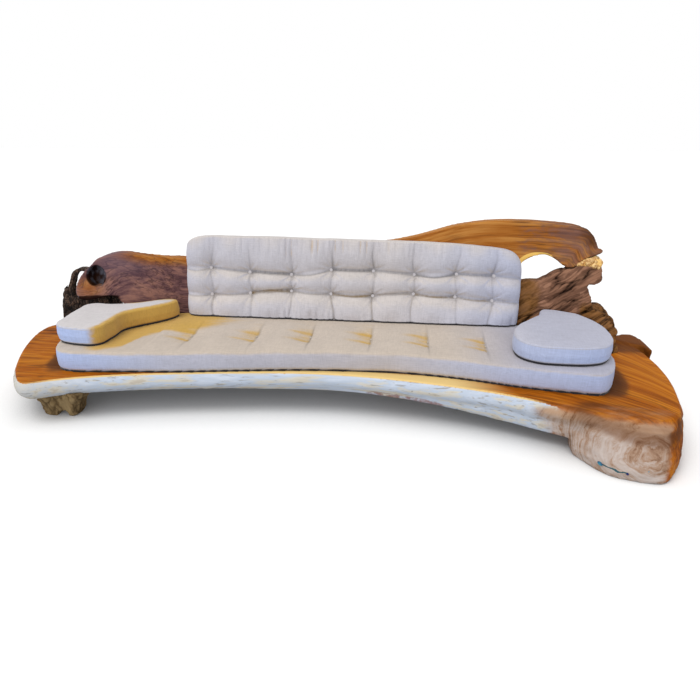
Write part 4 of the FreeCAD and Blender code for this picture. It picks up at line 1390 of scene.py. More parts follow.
@dataclass
class SlabPiece:
    """The crescent slab with its lip, root foot and spur.

    A pair of places is a band over which something rises, in metres from the bench's middle. The
    heights of waves and the depths of furrows are in millimetres, here and in the other pieces.
    """

    pitch: float = 11.5 * MM
    deck: float = 0.265
    wave_height: float = 3.0
    ripple_height: float = 1.6
    gnarl_height: float = 5.0
    crack_depth: float = 5.0
    crack_shade: float = 0.35
    hug_shade: float = 0.55
    cushion_reach: float = 1.4
    rows: int = 160
    root_from: Band = (1.1, 1.3)
    cracks_from: Band = (1.15, 1.3)
    floor_band: Band = (3 * MM, 16 * MM)
    swirl_from: float = 1.20
    swirl_to: float = 1.36
    swirl_front: Band = (-0.36, -0.44)
    left_end: Band = (-1.93, -1.74)
    rim_left: Band = (-1.75, -1.45)
    rim_right: Band = (1.30, 1.16)
    strip_left: Band = (-0.95, -0.6)
    strip_right: Band = (1.15, 0.75)
    strip_places: tuple[float, ...] = (0.0, 0.5, 0.95, 1.15)
    strip_widths: tuple[float, ...] = (0.060, 0.085, 0.140, 0.080)
    rind_left: Band = (0.22, 0.36)
    rind_right: Band = (0.90, 0.60)
    rind_width: float = 0.026
    # Where the painted shade beside the seat cushion's ends lies, and over what distance from the cushion it
    # fades.
    cushion_ends: tuple[Band, Band] = ((-1.42, -1.58), (1.48, 1.64))
    cushion_front: Band = (-0.40, -0.22)
    cushion_shade: Band = (0.125, 0.035)

    def build(self) -> None:
        """Makes the slab's uneven skin, paints its woods and hands it over."""
        thing, points, normals = skin("seat_slab", self.pitch)
        x, _, z = points.T
        side = step(1 - np.abs(normals[:, 2]), 0.25, 0.7)
        below = step(z, self.deck - 4 * MM, self.deck - 25 * MM)
        waves = rough(points, (3.0, 3.0, 9.0), 3.0) * self.wave_height
        waves += rough(points, (7.0, 7.0, 26.0), 9.0, 3) * self.ripple_height
        crack = 1 - ridges(points, (5.0, 5.0, 15.0), 21.0)
        gnarl = rough(points, 9.0, 5.0) * self.gnarl_height - crack * self.crack_depth
        lift = (waves + gnarl * step(x, *self.root_from)) * MM * side * below * step(z, *self.floor_band)
        points = push_out(thing, points, normals, lift)
        # Painted shade on the deck beside the seat cushion's ends.
        shade_beside_cushion = self.beside_cushion(points)
        self.paint_grain(thing, points)
        self.paint_edge(thing, points, normals)
        self.paint_foot(thing, points, normals, shade_beside_cushion)
        # Painted shade in the root foot's cracks and beside the seat cushion's ends.
        cracks = crack * side * below * step(x, *self.cracks_from) * self.crack_shade
        paint(thing, "hollow", np.maximum(cracks, shade_beside_cushion * self.hug_shade))
        dress(thing, self.timber().build())
        hand_over(thing, "seat_slab_wood", Body.BENCH, Slot.SLAB, "seat_slab")

    def timber(self) -> SlabTimber:
        """The slab's finish, with its crack between the resin plugs on the root foot."""
        plugs = [(float(m[0]), float(m[2])) for m in islands("resin_plugs") if m[0] > self.swirl_to]
        return SlabTimber(
            "streaked_slab_wood",
            pale=(0.50, 0.170, 0.012),
            middle=(0.34, 0.088, 0.004),
            dark=(0.150, 0.040, 0.003),
            vein=(0.055, 0.017, 0.005),
            crack=(plugs[0], plugs[1]),
        )

    @staticmethod
    def paint_grain(thing: Thing, points: Array) -> None:
        """Paints the grain's run, which follows the crescent and bends forward into the root foot.

        Args:
            thing: the slab.
            points: its points.
        """
        x, y, z = points.T
        turn_in = np.log(1 - np.clip((x - 1.0) / 1.04, 0, 0.97))
        bow = 0.10 * np.clip(x, 0, None) ** 2 - 0.13 * turn_in
        paint(thing, "grain", np.stack([x, y + bow, z], axis=1))

    def paint_edge(self, thing: Thing, points: Array, normals: Array) -> None:
        """Paints where the live edge, its pale rim and its reddish rind show.

        Args:
            thing: the slab.
            points: its points.
            normals: its normals before the waves.
        """
        x, y, z = points.T
        front = step(-normals[:, 1], 0.15, 0.5)
        under = step(z, self.deck - 3 * MM, self.deck - 9 * MM)
        face = np.clip(front + step(-normals[:, 2], 0.2, 0.6) * 0.6, 0, 1)
        left_end = step(x + 1.2 * (self.deck - z), *self.left_end)
        foot = step(x, self.swirl_to + 0.08, self.swirl_from)
        paint(thing, "sap", face * under * left_end * foot)
        rows, edges, middles = between_rows(x, self.rows)
        numbers = range(len(edges))
        fronts = np.array([y[rows == row].min() if np.any(rows == row) else 0.0 for row in numbers])
        inset = y - np.interp(x, middles, fronts) - np.interp(x, self.strip_places, self.strip_widths)
        strip = step(inset, 0.030, 0.0) * step(z, self.deck - 6 * MM, self.deck - 2 * MM)
        rim = front * step(z, self.deck - 40 * MM, self.deck - 25 * MM)
        rim = np.maximum(rim, strip * between(x, self.strip_left, self.strip_right))
        paint(thing, "rim", rim * between(x, self.rim_left, self.rim_right))
        lows = [z[(rows == row) & (front > 0.5)].min(initial=self.deck) for row in numbers]
        above_lip = z - np.interp(x, middles, np.array(lows))
        rind = hill(above_lip - 12 * MM, self.rind_width) * face * between(x, self.rind_left, self.rind_right)
        paint(thing, "rind", rind)

    def paint_foot(self, thing: Thing, points: Array, normals: Array, shade_beside_cushion: Array) -> None:
        """Paints where the root foot's curls show and where it is painted darker, partly as painted shade
        beside the seat cushion's ends.

        Args:
            thing: the slab.
            points: its points.
            normals: its normals before the waves.
            shade_beside_cushion: the painted shade on the deck beside the seat cushion's ends, 1 right beside
                them.
        """
        x, y, z = points.T
        swirl = step(x + (z - 0.18) * 0.9, self.swirl_from - 0.12, self.swirl_to) * step(y, *self.swirl_front)
        swirl *= step(x - 0.4 * (y + 0.5), 2.06, 1.80) * step(normals[:, 0], 0.95, 0.20)
        below = step(z, self.deck - 2 * MM, self.deck - 45 * MM)
        paint(thing, "swirl", swirl * (0.35 + 0.65 * below))
        valley = hill(y + 0.46 + 0.05 * np.sin(7 * x), 0.045) * between(x, (1.3, 1.5), (2.0, 1.8))
        rear = step(x, 1.80, 1.95) * step(y, 0.30, 0.50)
        brow = hill(z - 0.215 - 0.02 * np.sin(6 * x), 0.040) * step(x, 1.28, 1.5) * step(y, -0.30, -0.45)
        spur = step(x, 1.72, 1.86) * step(y, 0.22, 0.40)
        # Darker patches on the root foot, its rear and its spur, and painted shade on the deck beside the
        # seat cushion's ends.
        dusk = valley * step(z, 0.2, 0.25) * 0.4 + rear * 0.8 + spur + shade_beside_cushion * 1.5 + brow
        paint(thing, "dusk", np.clip(dusk, 0, 1))

    def beside_cushion(self, points: Array) -> Array:
        """Finds the deck beside the seat cushion's ends, which takes painted shade.

        Args:
            points: the slab's points.

        Returns:
            1 right beside the cushion, falling to 0 some centimetres away.
        """
        cover = node_mesh("seat_cushion_cover")
        spots = in_plan(read_rows(cover, "co"))
        bpy.data.objects.remove(cover)
        tree = tree_of(spots, np.flatnonzero(np.abs(spots[:, 0]) > self.cushion_reach))
        far = np.array([tree.find(point)[2] for point in in_plan(points)])
        left, right = (step(points[:, 0], *band) for band in self.cushion_ends)
        return step(far, *self.cushion_shade) * (left + right) * step(points[:, 1], *self.cushion_front)


@dataclass
class PlankPiece:
    """The leaning backrest plank with its knot hole and branch, in elevation."""

    pitch: float = 9.0 * MM
    columns: int = 90
    wave_height: float = 4.0
    line_height: float = 0.9
    gnarl_height: float = 5.0
    furrow_depth: float = 6.0
    hole: Spot = (-1.6185, 0.6657)
    hole_mouth: Band = (0.078, 0.058)
    hole_inside: Band = (0.075, 0.055)
    eye: Spot = (1.37, 0.765)
    eye_half: Spot = (0.125, 0.075)
    branch_end: Band = (1.25, 1.55)
    foot_band: Band = (0.27, 0.30)
    orange_patch: Spot = (-1.67, 0.60)
    bloom_patch: Spot = (-1.42, 0.79)
    elbow: Spot = (1.60, 0.93)

    def build(self) -> None:
        """Makes the plank's skin, paints its woods and hands it over."""
        thing, points, normals = skin("backrest_plank", self.pitch)
        x, y, z = points.T
        depth = self.depth_below(points)
        gap = np.hypot(x - self.hole[0], z - self.hole[1])
        flow = depth * (1 - 0.75 * hill(gap, 0.16)) + 0.05 * hill(gap, 0.13)
        grain = np.stack([x * 0.9, flow, y], axis=1)
        waves = rough(points, (2.5, 5.0, 5.0), 13.0) * self.wave_height
        lines = rough(grain, (1.2, 26.0, 12.0), 4.0, 3) * self.line_height
        furrows = (1 - ridges(grain, (3.0, 16.0, 8.0), 8.0)) * self.furrow_depth
        gnarl = (rough(points, 8.0, 15.0) * self.gnarl_height - furrows) * step(x, *self.branch_end)
        lift = (waves + lines + gnarl) * MM * step(z, *self.foot_band)
        points = push_out(thing, points, normals, lift)
        paint(thing, "grain", grain)
        self.paint_woods(thing, points, depth)
        self.paint_hollows(thing, points, normals, gap)
        timber = PlankTimber(
            "plank_wood_purple_and_gold",
            pale=(0.30, 0.150, 0.115),
            middle=(0.165, 0.082, 0.080),
            dark=(0.090, 0.042, 0.048),
            vein=(0.036, 0.018, 0.022),
            streak_scale=46.0,
            stretch=0.020,
            vein_share=0.6,
            wander=0.045,
            twist=0.0,
        )
        dress(thing, timber.build())
        hand_over(thing, "backrest_plank_wood", Body.BENCH, Slot.PLANK, "backrest_plank")

    def depth_below(self, points: Array) -> Array:
        """Measures how far each point lies from the plank's top edge in elevation.

        Args:
            points: the plank's points.

        Returns:
            One distance for each point.
        """
        x, _, z = points.T
        rows, edges, middles = between_rows(x, self.columns)
        places = middles[:-1]
        tops = np.array([z[rows == row].max() for row in range(len(edges) - 1)])
        best = np.full(len(points), np.inf)
        for ax, az, bx, bz in zip(places[:-1], tops[:-1], places[1:], tops[1:]):
            length = (bx - ax) ** 2 + (bz - az) ** 2
            share = np.clip(((x - ax) * (bx - ax) + (z - az) * (bz - az)) / length, 0, 1)
            best = np.minimum(best, np.hypot(x - ax - share * (bx - ax), z - az - share * (bz - az)))
        return best

    def paint_woods(self, thing: Thing, points: Array, depth: Array) -> None:
        """Paints where the wood is golden, violet, burnt or pale.

        Args:
            thing: the plank.
            points: its points.
            depth: each point's distance from the top edge.
        """
        x, _, z = points.T
        top_edge = hill(depth, 0.060) * step(x, -1.60, -1.30) * 0.85
        patch = self.spot(points, self.orange_patch, (0.12, 0.09))
        paint(thing, "warm", np.clip(step(x, -0.9, 0.2) + top_edge + patch * 0.62, 0, 1))
        paint(thing, "bloom", self.spot(points, self.bloom_patch, (0.24, 0.11)))
        elbow = self.spot(points, self.elbow, (0.10, 0.10))
        paint(thing, "dusk", np.clip(step(x, 0.95, 1.55) * 0.62 + elbow * 0.25, 0, 1))
        round_eye = np.hypot((x - self.eye[0]) / self.eye_half[0], (z - self.eye[1]) / self.eye_half[1])
        paint(thing, "rim", hill(round_eye - 1.0, 0.16) * step(x, 1.52, 1.40) * step(z, 0.74, 0.79))

    @staticmethod
    def spot(points: Array, middle: Spot, half: Spot) -> Array:
        """A soft round patch in elevation, 1 at its middle."""
        return hill(np.hypot((points[:, 0] - middle[0]) / half[0], (points[:, 2] - middle[1]) / half[1]), 1.0)

    def paint_hollows(self, thing: Thing, points: Array, normals: Array, gap: Array) -> None:
        """Paints painted shade in the knot hole, under the left end and at and under the branch's end, and a
        painted bluish reflection on the left end face with painted glints in the hole.

        Args:
            thing: the plank.
            points: its points.
            normals: its normals before the waves.
            gap: each point's distance from the knot hole's middle.
        """
        x, _, z = points.T
        deep = step(gap, *self.hole_mouth)
        inside = step(gap, *self.hole_inside) * step(normals[:, 1], -0.93, -0.80)
        # A painted bluish reflection on the left end face, and painted glints inside the knot hole.
        sheen = step(-normals[:, 0], 0.25, 0.75) * step(x, -1.45, -1.60)
        glint = deep * np.clip(rough(points, 22.0, 37.0, 3) * 0.28 + 0.07, 0, 0.20)
        paint(thing, "frost", np.clip(sheen * 0.22 * (1 - deep) + glint, 0, 1))
        # Painted shade inside the knot hole, under the left end, at the branch's rounded end and under it.
        low = step(z, 0.545, 0.525) * step(x, -1.45, -1.50)
        end = step(x + 0.4 * (z - self.elbow[1]), 1.56, 1.70) * step(z, 0.84, 0.92)
        mouth = step(-normals[:, 2], 0.25, 0.6) * step(x, 1.50, 1.56)
        paint(thing, "hollow", np.clip(inside + deep * 0.9 + low + end * 0.5 + mouth, 0, 1))


@dataclass
class PostPiece:
    """The weathered root post with its burl knobs."""

    pitch: float = 5.0 * MM
    slant: float = 0.55
    foot_band: Band = (0.27, 0.31)
    lump_height: float = 12.0
    wide_depth: float = 12.0
    thin_depth: float = 4.0
    skin_raise: float = 3.0
    knob_raise: float = 4.0
    knob_side: Band = (1.50, 1.60)
    knob_top: Band = (0.755, 0.785)

    def build(self) -> None:
        """Carves slanting furrows, paints the woods and hands the post over."""
        thing, points, normals = skin("root_post", self.pitch)
        x, y, z = points.T
        along = x * math.cos(self.slant) + z * math.sin(self.slant)
        across = -x * math.sin(self.slant) + z * math.cos(self.slant)
        grain = np.stack([along, across, y * 0.6], axis=1)
        bent = grain + rough(points, 3.0, 31.0)[:, None] * 0.05
        wide = ridges(bent, (2.4, 11.0, 6.0), 2.0)
        thin = ridges(bent, (6.0, 34.0, 14.0), 17.0)
        knob = step(x, *self.knob_side) * step(z, *self.knob_top)
        carved = rough(points, 7.0, 6.0) * self.lump_height + self.skin_raise
        carved -= (1 - wide) ** 2 * self.wide_depth + (1 - thin) ** 2 * self.thin_depth
        lift = (carved * (1 - knob) + knob * self.knob_raise) * MM * step(z, *self.foot_band)
        push_out(thing, points, normals, lift)
        paint(thing, "grain", grain)
        paint(thing, "crest", np.clip(wide * thin, 0, 1))
        creases = np.clip((1 - wide) ** 2 * 0.50 + (1 - thin) ** 3 * 0.40, 0, 1) * (1 - knob)
        self.paint_woods(thing, points, creases, knob * (1 - self.mouth(points)))
        upward = step(normals[:, 2] - normals[:, 1], 0.1, 0.5)
        paint(thing, "growth", knob * upward * (1 - self.mouth(points)))
        timber = WeatheredTimber(
            "weathered_root_wood",
            pale=(0.33, 0.170, 0.105),
            middle=(0.20, 0.100, 0.062),
            dark=(0.115, 0.054, 0.034),
            vein=(0.050, 0.024, 0.015),
            streak_scale=30.0,
            stretch=0.09,
            vein_share=0.6,
            shine=0.5,
        )
        dress(thing, timber.build())
        self.grow_knobs(thing)
        hand_over(thing, "root_post_wood", Body.BENCH, Slot.ROOT, "root_post")

    @staticmethod
    def mouth(points: Array) -> Array:
        """1 where painted shade stands for the gap between the post's top and the branch's end."""
        x, _, z = points.T
        return step(z - 0.35 * (x - 1.62), 0.776, 0.788) * between(x, (1.50, 1.54), (1.74, 1.70))

    def paint_woods(self, thing: Thing, points: Array, creases: Array, knob: Array) -> None:
        """Paints painted shade in the furrows and in the gap under the branch's end, darkens the post low on
        its left, and paints the golden patches and the burl.

        Args:
            thing: the post.
            points: its points before the carving.
            creases: how much painted shade each point takes in its furrow.
            knob: how far each point belongs to the pale burl.
        """
        x, _, z = points.T
        # Painted shade in the furrows and in the gap under the branch's end; the post is also darker low on
        # its left.
        beside = 0.16 * step(z, 0.62, 0.45) * step(x, 1.62, 1.50)
        paint(thing, "hollow", np.clip(creases + self.mouth(points) + beside, 0, 1))
        left = step(x, 1.48, 1.30) * step(z, 0.78, 0.62)
        right = step(x, 1.60, 1.68) * step(z, 0.60, 0.50)
        paint(thing, "gild", np.clip(left + right, 0, 1))
        paint(thing, "knob", knob)

    @staticmethod
    def grow_knobs(thing: Thing) -> None:
        """Grows the burl's knobs on the post and hands them over.

        Args:
            thing: the post, which paints "growth".
        """
        burl = PlainFinish("burl_wood", (0.86, 0.60, 0.26), (0.40, 0.18, 0.045), 60.0, 0.5, depth=0.0012)
        growth = Growth(
            "root_post_burl_knobs",
            reach=(0.018, 0.018, 0.013),
            density=2600.0,
            apart=0.017,
            sizes=(0.6, 1.3),
        )
        knobs = growth.plant(thing, burl.build())
        hand_over(knobs, "root_post_burl_knobs", Body.BENCH, Slot.ROOT)


@dataclass
class StumpPiece:
    """The bark stump with its curled strap."""

    pitch: float = 5.0 * MM
    trunk_top: Band = (0.60, 0.50)
    foot_band: Band = (0.267, 0.29)
    scales_from: Band = (0.28, 0.31)
    plate_height: float = 6.0
    plate_raise: float = 2.0
    strap_height: float = 2.0
    furrow_depth: float = 7.0

    def build(self) -> None:
        """Raises plates and furrows of bark and hands the stump over."""
        thing, points, normals = skin("bark_stump", self.pitch)
        z = points[:, 2]
        trunk = step(z, *self.trunk_top)
        furrow = 1 - ridges(points, (16.0, 16.0, 7.0), 12.0)
        plates = rough(points, 14.0, 2.0) * self.plate_height - furrow * self.furrow_depth
        strap = rough(points, 24.0, 7.0) * self.strap_height
        lift = (plates + self.plate_raise) * trunk + strap * (1 - trunk)
        push_out(thing, points, normals, lift * MM * step(z, *self.foot_band))
        # Painted shade in the bark's furrows.
        paint(thing, "hollow", furrow * trunk)
        bark = Bark().build()
        dress(thing, bark)
        forward = step(normals[:, 1], 0.4, 0.0)
        paint(thing, "growth", trunk * step(z, *self.scales_from) * forward)
        growth = Growth(
            "bark_stump_scales",
            reach=(0.013, 0.020, 0.0035),
            density=2600.0,
            apart=0.017,
            seed=9,
        )
        hand_over(growth.plant(thing, bark), "bark_stump_scales", Body.BENCH, Slot.BARK)
        hand_over(thing, "bark_stump_bark", Body.BENCH, Slot.BARK, "bark_stump")


@dataclass
class FootPiece:
    """One gnarled foot under the slab."""

    node: str
    pitch: float = 4.0 * MM
    floor_band: Band = (2 * MM, 14 * MM)
    slab_band: Band = (0.150, 0.138)
    knot_height: float = 9.0
    furrow_depth: float = 9.0

    def build(self, material: Material) -> None:
        """Gives the foot its knots and furrows and hands it over.

        Args:
            material: the feet's finish.
        """
        thing, points, normals = skin(self.node, self.pitch)
        x, y, z = points.T
        furrow = ridges(points, (15.0, 15.0, 8.0), 4.0)
        lift = (rough(points, 16.0, 8.0) * self.knot_height - (1 - furrow) * self.furrow_depth) * MM
        lift *= between(z, self.floor_band, self.slab_band)
        points = push_out(thing, points, normals, lift)
        paint(thing, "grain", np.stack([z, x * 0.8 + rough(points, 6.0, 3.0) * 0.02, y], axis=1))
        # Painted shade in the furrows.
        paint(thing, "hollow", (1 - furrow) ** 2 * 0.5)
        paint(thing, "crest", furrow)
        dress(thing, material)
        hand_over(thing, self.node + "_wood", Body.BENCH, Slot.ROOT, self.node)


def dress_feet() -> None:
    """Dresses the three small feet in one finish."""
    timber = WeatheredTimber(
        "foot_root_wood",
        pale=(0.27, 0.19, 0.095),
        middle=(0.18, 0.12, 0.058),
        dark=(0.11, 0.070, 0.034),
        vein=(0.06, 0.038, 0.020),
        streak_scale=40.0,
        stretch=0.2,
        vein_share=0.4,
        shine=0.55,
        ridge=(0.27, 0.195, 0.100),
    )
    wood = timber.build()
    for node in ("front_left_foot", "rear_left_foot", "rear_right_foot"):
        FootPiece(node).build(wood)


def dress_small_parts() -> None:
    """Gives the CAD nodes that stay their finishes."""
    twine = PlainFinish("waxed_twine", (0.62, 0.58, 0.52), (0.42, 0.38, 0.33), 260.0, 0.85)
    cloth = PlainFinish("button_linen", (0.52, 0.50, 0.52), (0.42, 0.40, 0.43), 320.0, 0.9)
    steel = PlainFinish(
        "zinc_plated_steel",
        colour=(0.62, 0.63, 0.64),
        second=(0.45, 0.46, 0.48),
        scale=180.0,
        rough=0.32,
        metallic=1.0,
        stretch=(1.0, 1.0, 0.1),
    )
    pin = PlainFinish(
        "hardwood_pin",
        colour=(0.30, 0.17, 0.08),
        second=(0.16, 0.08, 0.035),
        scale=60.0,
        rough=0.55,
        stretch=(1.0, 1.0, 0.08),
    )
    finishes = {
        "foot_pins": pin,
        "branch_pin": pin,
        "coach_screws": steel,
        "coach_screw_washers": steel,
        "resin_plugs": Resin(),
        "seat_cushion_ties": twine,
        "back_cushion_buttons": cloth,
        "back_cushion_rear_buttons": cloth,
        "back_cushion_twines": twine,
    }
    made: dict[str, Material] = {}
    for node, finish in finishes.items():
        if finish.name not in made:
            made[finish.name] = finish.build()
        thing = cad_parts[node]
        thing.data.materials.clear()
        thing.data.materials.append(made[finish.name])
        log.info("%s: %s", node, finish.name)


# Cushions


@dataclass
class Cushion:
    """A linen cushion grown from its cover's outside."""

    cover: str
    name: str
    body: Body
    inner: tuple[str, ...]
    pitch: float
    fill: float
    # Share of painted warm light over the whole cushion.
    lay: float = 0.0
    seams: tuple[float, ...] = ()
    tuck: float = 0.012
    # Strength of the painted bluish light on the upright sides.
    chill: float = 1.0
    # Height and fade of the painted contact shade along the bottom edge.
    lining: float = 0.010
    contact_shade_fade: float = 6 * MM
    # The painted bluish light's share along the bench, and where the painted bluish shade towards the right
    # end begins.
    chill_places: tuple[float, ...] = (-1.6, -0.9, 0.4, 1.1, 1.6)
    chill_shares: tuple[float, ...] = (1.0, 0.45, 0.22, 0.65, 0.95)
    cold_from: Band = (0.70, 1.35)

    def finish(self, thing: Thing, material: Material, ochre: Array, fold: Array) -> None:
        """Paints the cloth's tints, which are painted light and shade, dresses the cushion and hands it over.

        Args:
            thing: the shaped cushion.
            material: the linen.
            ochre: how much painted warm light and shade each point takes.
            fold: how much painted shade each point takes in a crease.
        """
        normals = read_rows(thing, "normal")
        x, _, z = read_rows(thing, "co").T
        # Painted warm light over the whole cushion, painted bluish light on the upright front sides, stronger
        # towards the ends, and painted bluish shade towards the right end, more on the top.
        flat = np.full(len(x), self.lay)
        ends = self.chill * np.interp(x, self.chill_places, self.chill_shares)
        upright = step(1 - np.abs(normals[:, 2]), 0.35, 0.85) * step(-normals[:, 1], -0.6, 0.1)
        rightward = step(x, *self.cold_from)
        paint(thing, "cool", upright * ends)
        paint(thing, "lay", flat)
        paint(thing, "cold", rightward * (0.30 + 0.45 * step(normals[:, 2], 0.4, 0.9)))
        # Painted contact shade along the bottom edge.
        paint(thing, "lining", step(z - z.min(), self.lining + self.contact_shade_fade, self.lining))
        # Painted warm light and shade.
        paint(thing, "ochre", ochre)
        # Painted shade in the creases.
        paint(thing, "fold", fold)
        dress(thing, material)
        hand_over(thing, self.name, self.body, Slot.LINEN, self.cover, *self.inner)
        if self.seams:
            seam = Seam(self.name + "_seam", self.seams).sew(thing, material)
            # The seam takes the painted light and shade of the cloth beside it.
            self.tint_like(seam, thing, {"ochre": ochre, "lay": flat, "cold": rightward * 0.5})
            hand_over(seam, self.name + "_seam", self.body, Slot.LINEN)

    @staticmethod
    def tint_like(seam: Thing, cushion: Thing, tints: dict[str, Array]) -> None:
        """Paints a seam with the tints of the cushion's nearest points.

        Args:
            seam: the seam.
            cushion: the cushion that it runs round.
            tints: the cushion's painted values by name.
        """
        tree = tree_of(read_rows(cushion, "co"))
        near = np.array([tree.find(point)[1] for point in read_rows(seam, "co")])
        for name, values in tints.items():
            paint(seam, name, values[near])


@dataclass
class SeatCushion(Cushion):
    """The long crescent seat cushion, with two rows of pulled-in tufts."""

    row_gap: float = 0.058
    pull: float = 0.009
    crease_depth: float = 2.5 * MM
    streak_depth: float = 1.6 * MM
    top_side: Band = (0.40, 0.375)
    foot_side: Band = (0.275, 0.30)
    tuck_side: Band = (0.288, 0.268)
    open_left: Band = (-1.10, -0.98)
    open_right: Band = (1.16, 1.06)
    open_rear: Band = (0.36, 0.30)
    # Where the painted warm light beside the left arm cushion reaches towards the back, along the bench.
    ochre_light_places: tuple[float, ...] = (-1.33, -1.20, -1.14, -1.04, -0.87, -0.60)
    ochre_light_edge: tuple[float, ...] = (-0.28, -0.20, -0.03, 0.07, 0.13, 0.20)

    def build(self, material: Material) -> None:
        """Pulls in the tufts, lets the cloth sag and hands the cushion over.

        Args:
            material: the linen.
        """
        thing, points, normals = skin(self.cover, self.pitch, hollow=True)
        x, y, z = points.T
        top = step(normals[:, 2], 0.3, 0.8)
        side = step(1 - np.abs(normals[:, 2]), 0.4, 0.8)
        dent, crease, streak = self.tufts(x, y)
        broad = rough(points, (2.5, 4.0, 4.0), 41.0) * 3.0
        sway = (broad + rough(points, (9.0, 14.0, 14.0), 43.0, 3) * 1.2) * MM
        opened = between(x, self.open_left, self.open_right) * step(y, *self.open_rear)
        drape = sway * side * between(z, self.foot_side, self.top_side) + sway * 0.8 * top * opened
        tuck = side * step(z, *self.tuck_side) * self.tuck
        pulled = dent + crease * self.crease_depth + streak * self.streak_depth
        push_out(thing, points, normals, drape - tuck - pulled * top)
        # Painted warm light beside the left arm cushion and at the back, painted ochre shade in streaks
        # beside the ties, and painted shade in the creases.
        ochre_light = np.clip(self.beside_arm(x, y) + streak, 0, 1.4)
        rear_glow = step(y, 0.10, 0.33) * 0.22 * step(x, 1.2, 0.9)
        self.finish(thing, material, (ochre_light + rear_glow) * top, np.clip(crease * 0.7 * top, 0, 1))

    def tufts(self, x: Array, y: Array) -> tuple[Array, Array, Array]:
        """Shapes the cloth round the ties, each of which pulls in two tufts.

        Args:
            x: place along the bench.
            y: place across it.

        Returns:
            The dents' depth, and how far each point is in a crease and in a streak of painted ochre shade.
        """
        dent = np.zeros(len(x))
        crease = np.zeros(len(x))
        streak = np.zeros(len(x))
        for n, (cx, cy, _) in enumerate(islands("seat_cushion_ties")):
            lean = 0.02 * math.sin(3.0 * n)
            upright = hill(x - cx - lean * (y - cy), 0.006) * step(np.abs(y - cy), 0.30, 0.05)
            crease = np.maximum(crease, upright)
            left = step(x, cx + 0.012, cx - 0.004)
            for row in (-self.row_gap, self.row_gap):
                off_y = y - cy - row
                turn = np.arctan2(off_y, x - cx)
                folds = 1 + 0.35 * np.sin(7 * turn + 2.0 * n + row * 40)
                dent += self.pull * hill(np.hypot(x - cx, off_y), 0.045) * folds
                # Painted ochre shade in a streak and a patch to the left of each tie.
                tail = hill(off_y + 0.04 * (cx - x), 0.030) * step(cx - x, 0.26, 0.0) * left
                streak = np.maximum(streak, tail * 0.80)
            patch = hill(y - cy, 0.14) * step(cx - x, 0.20, 0.0) * left
            streak = np.maximum(streak, patch * 0.52)
        return dent, crease, streak

    def beside_arm(self, x: Array, y: Array) -> Array:
        """The painted warm light beside the left arm cushion and behind it."""
        edge = np.interp(x, self.ochre_light_places, self.ochre_light_edge)
        return between(x, (-1.50, -1.28), (-0.50, -1.05)) * step(y - edge, -0.07, 0.06) * 1.1


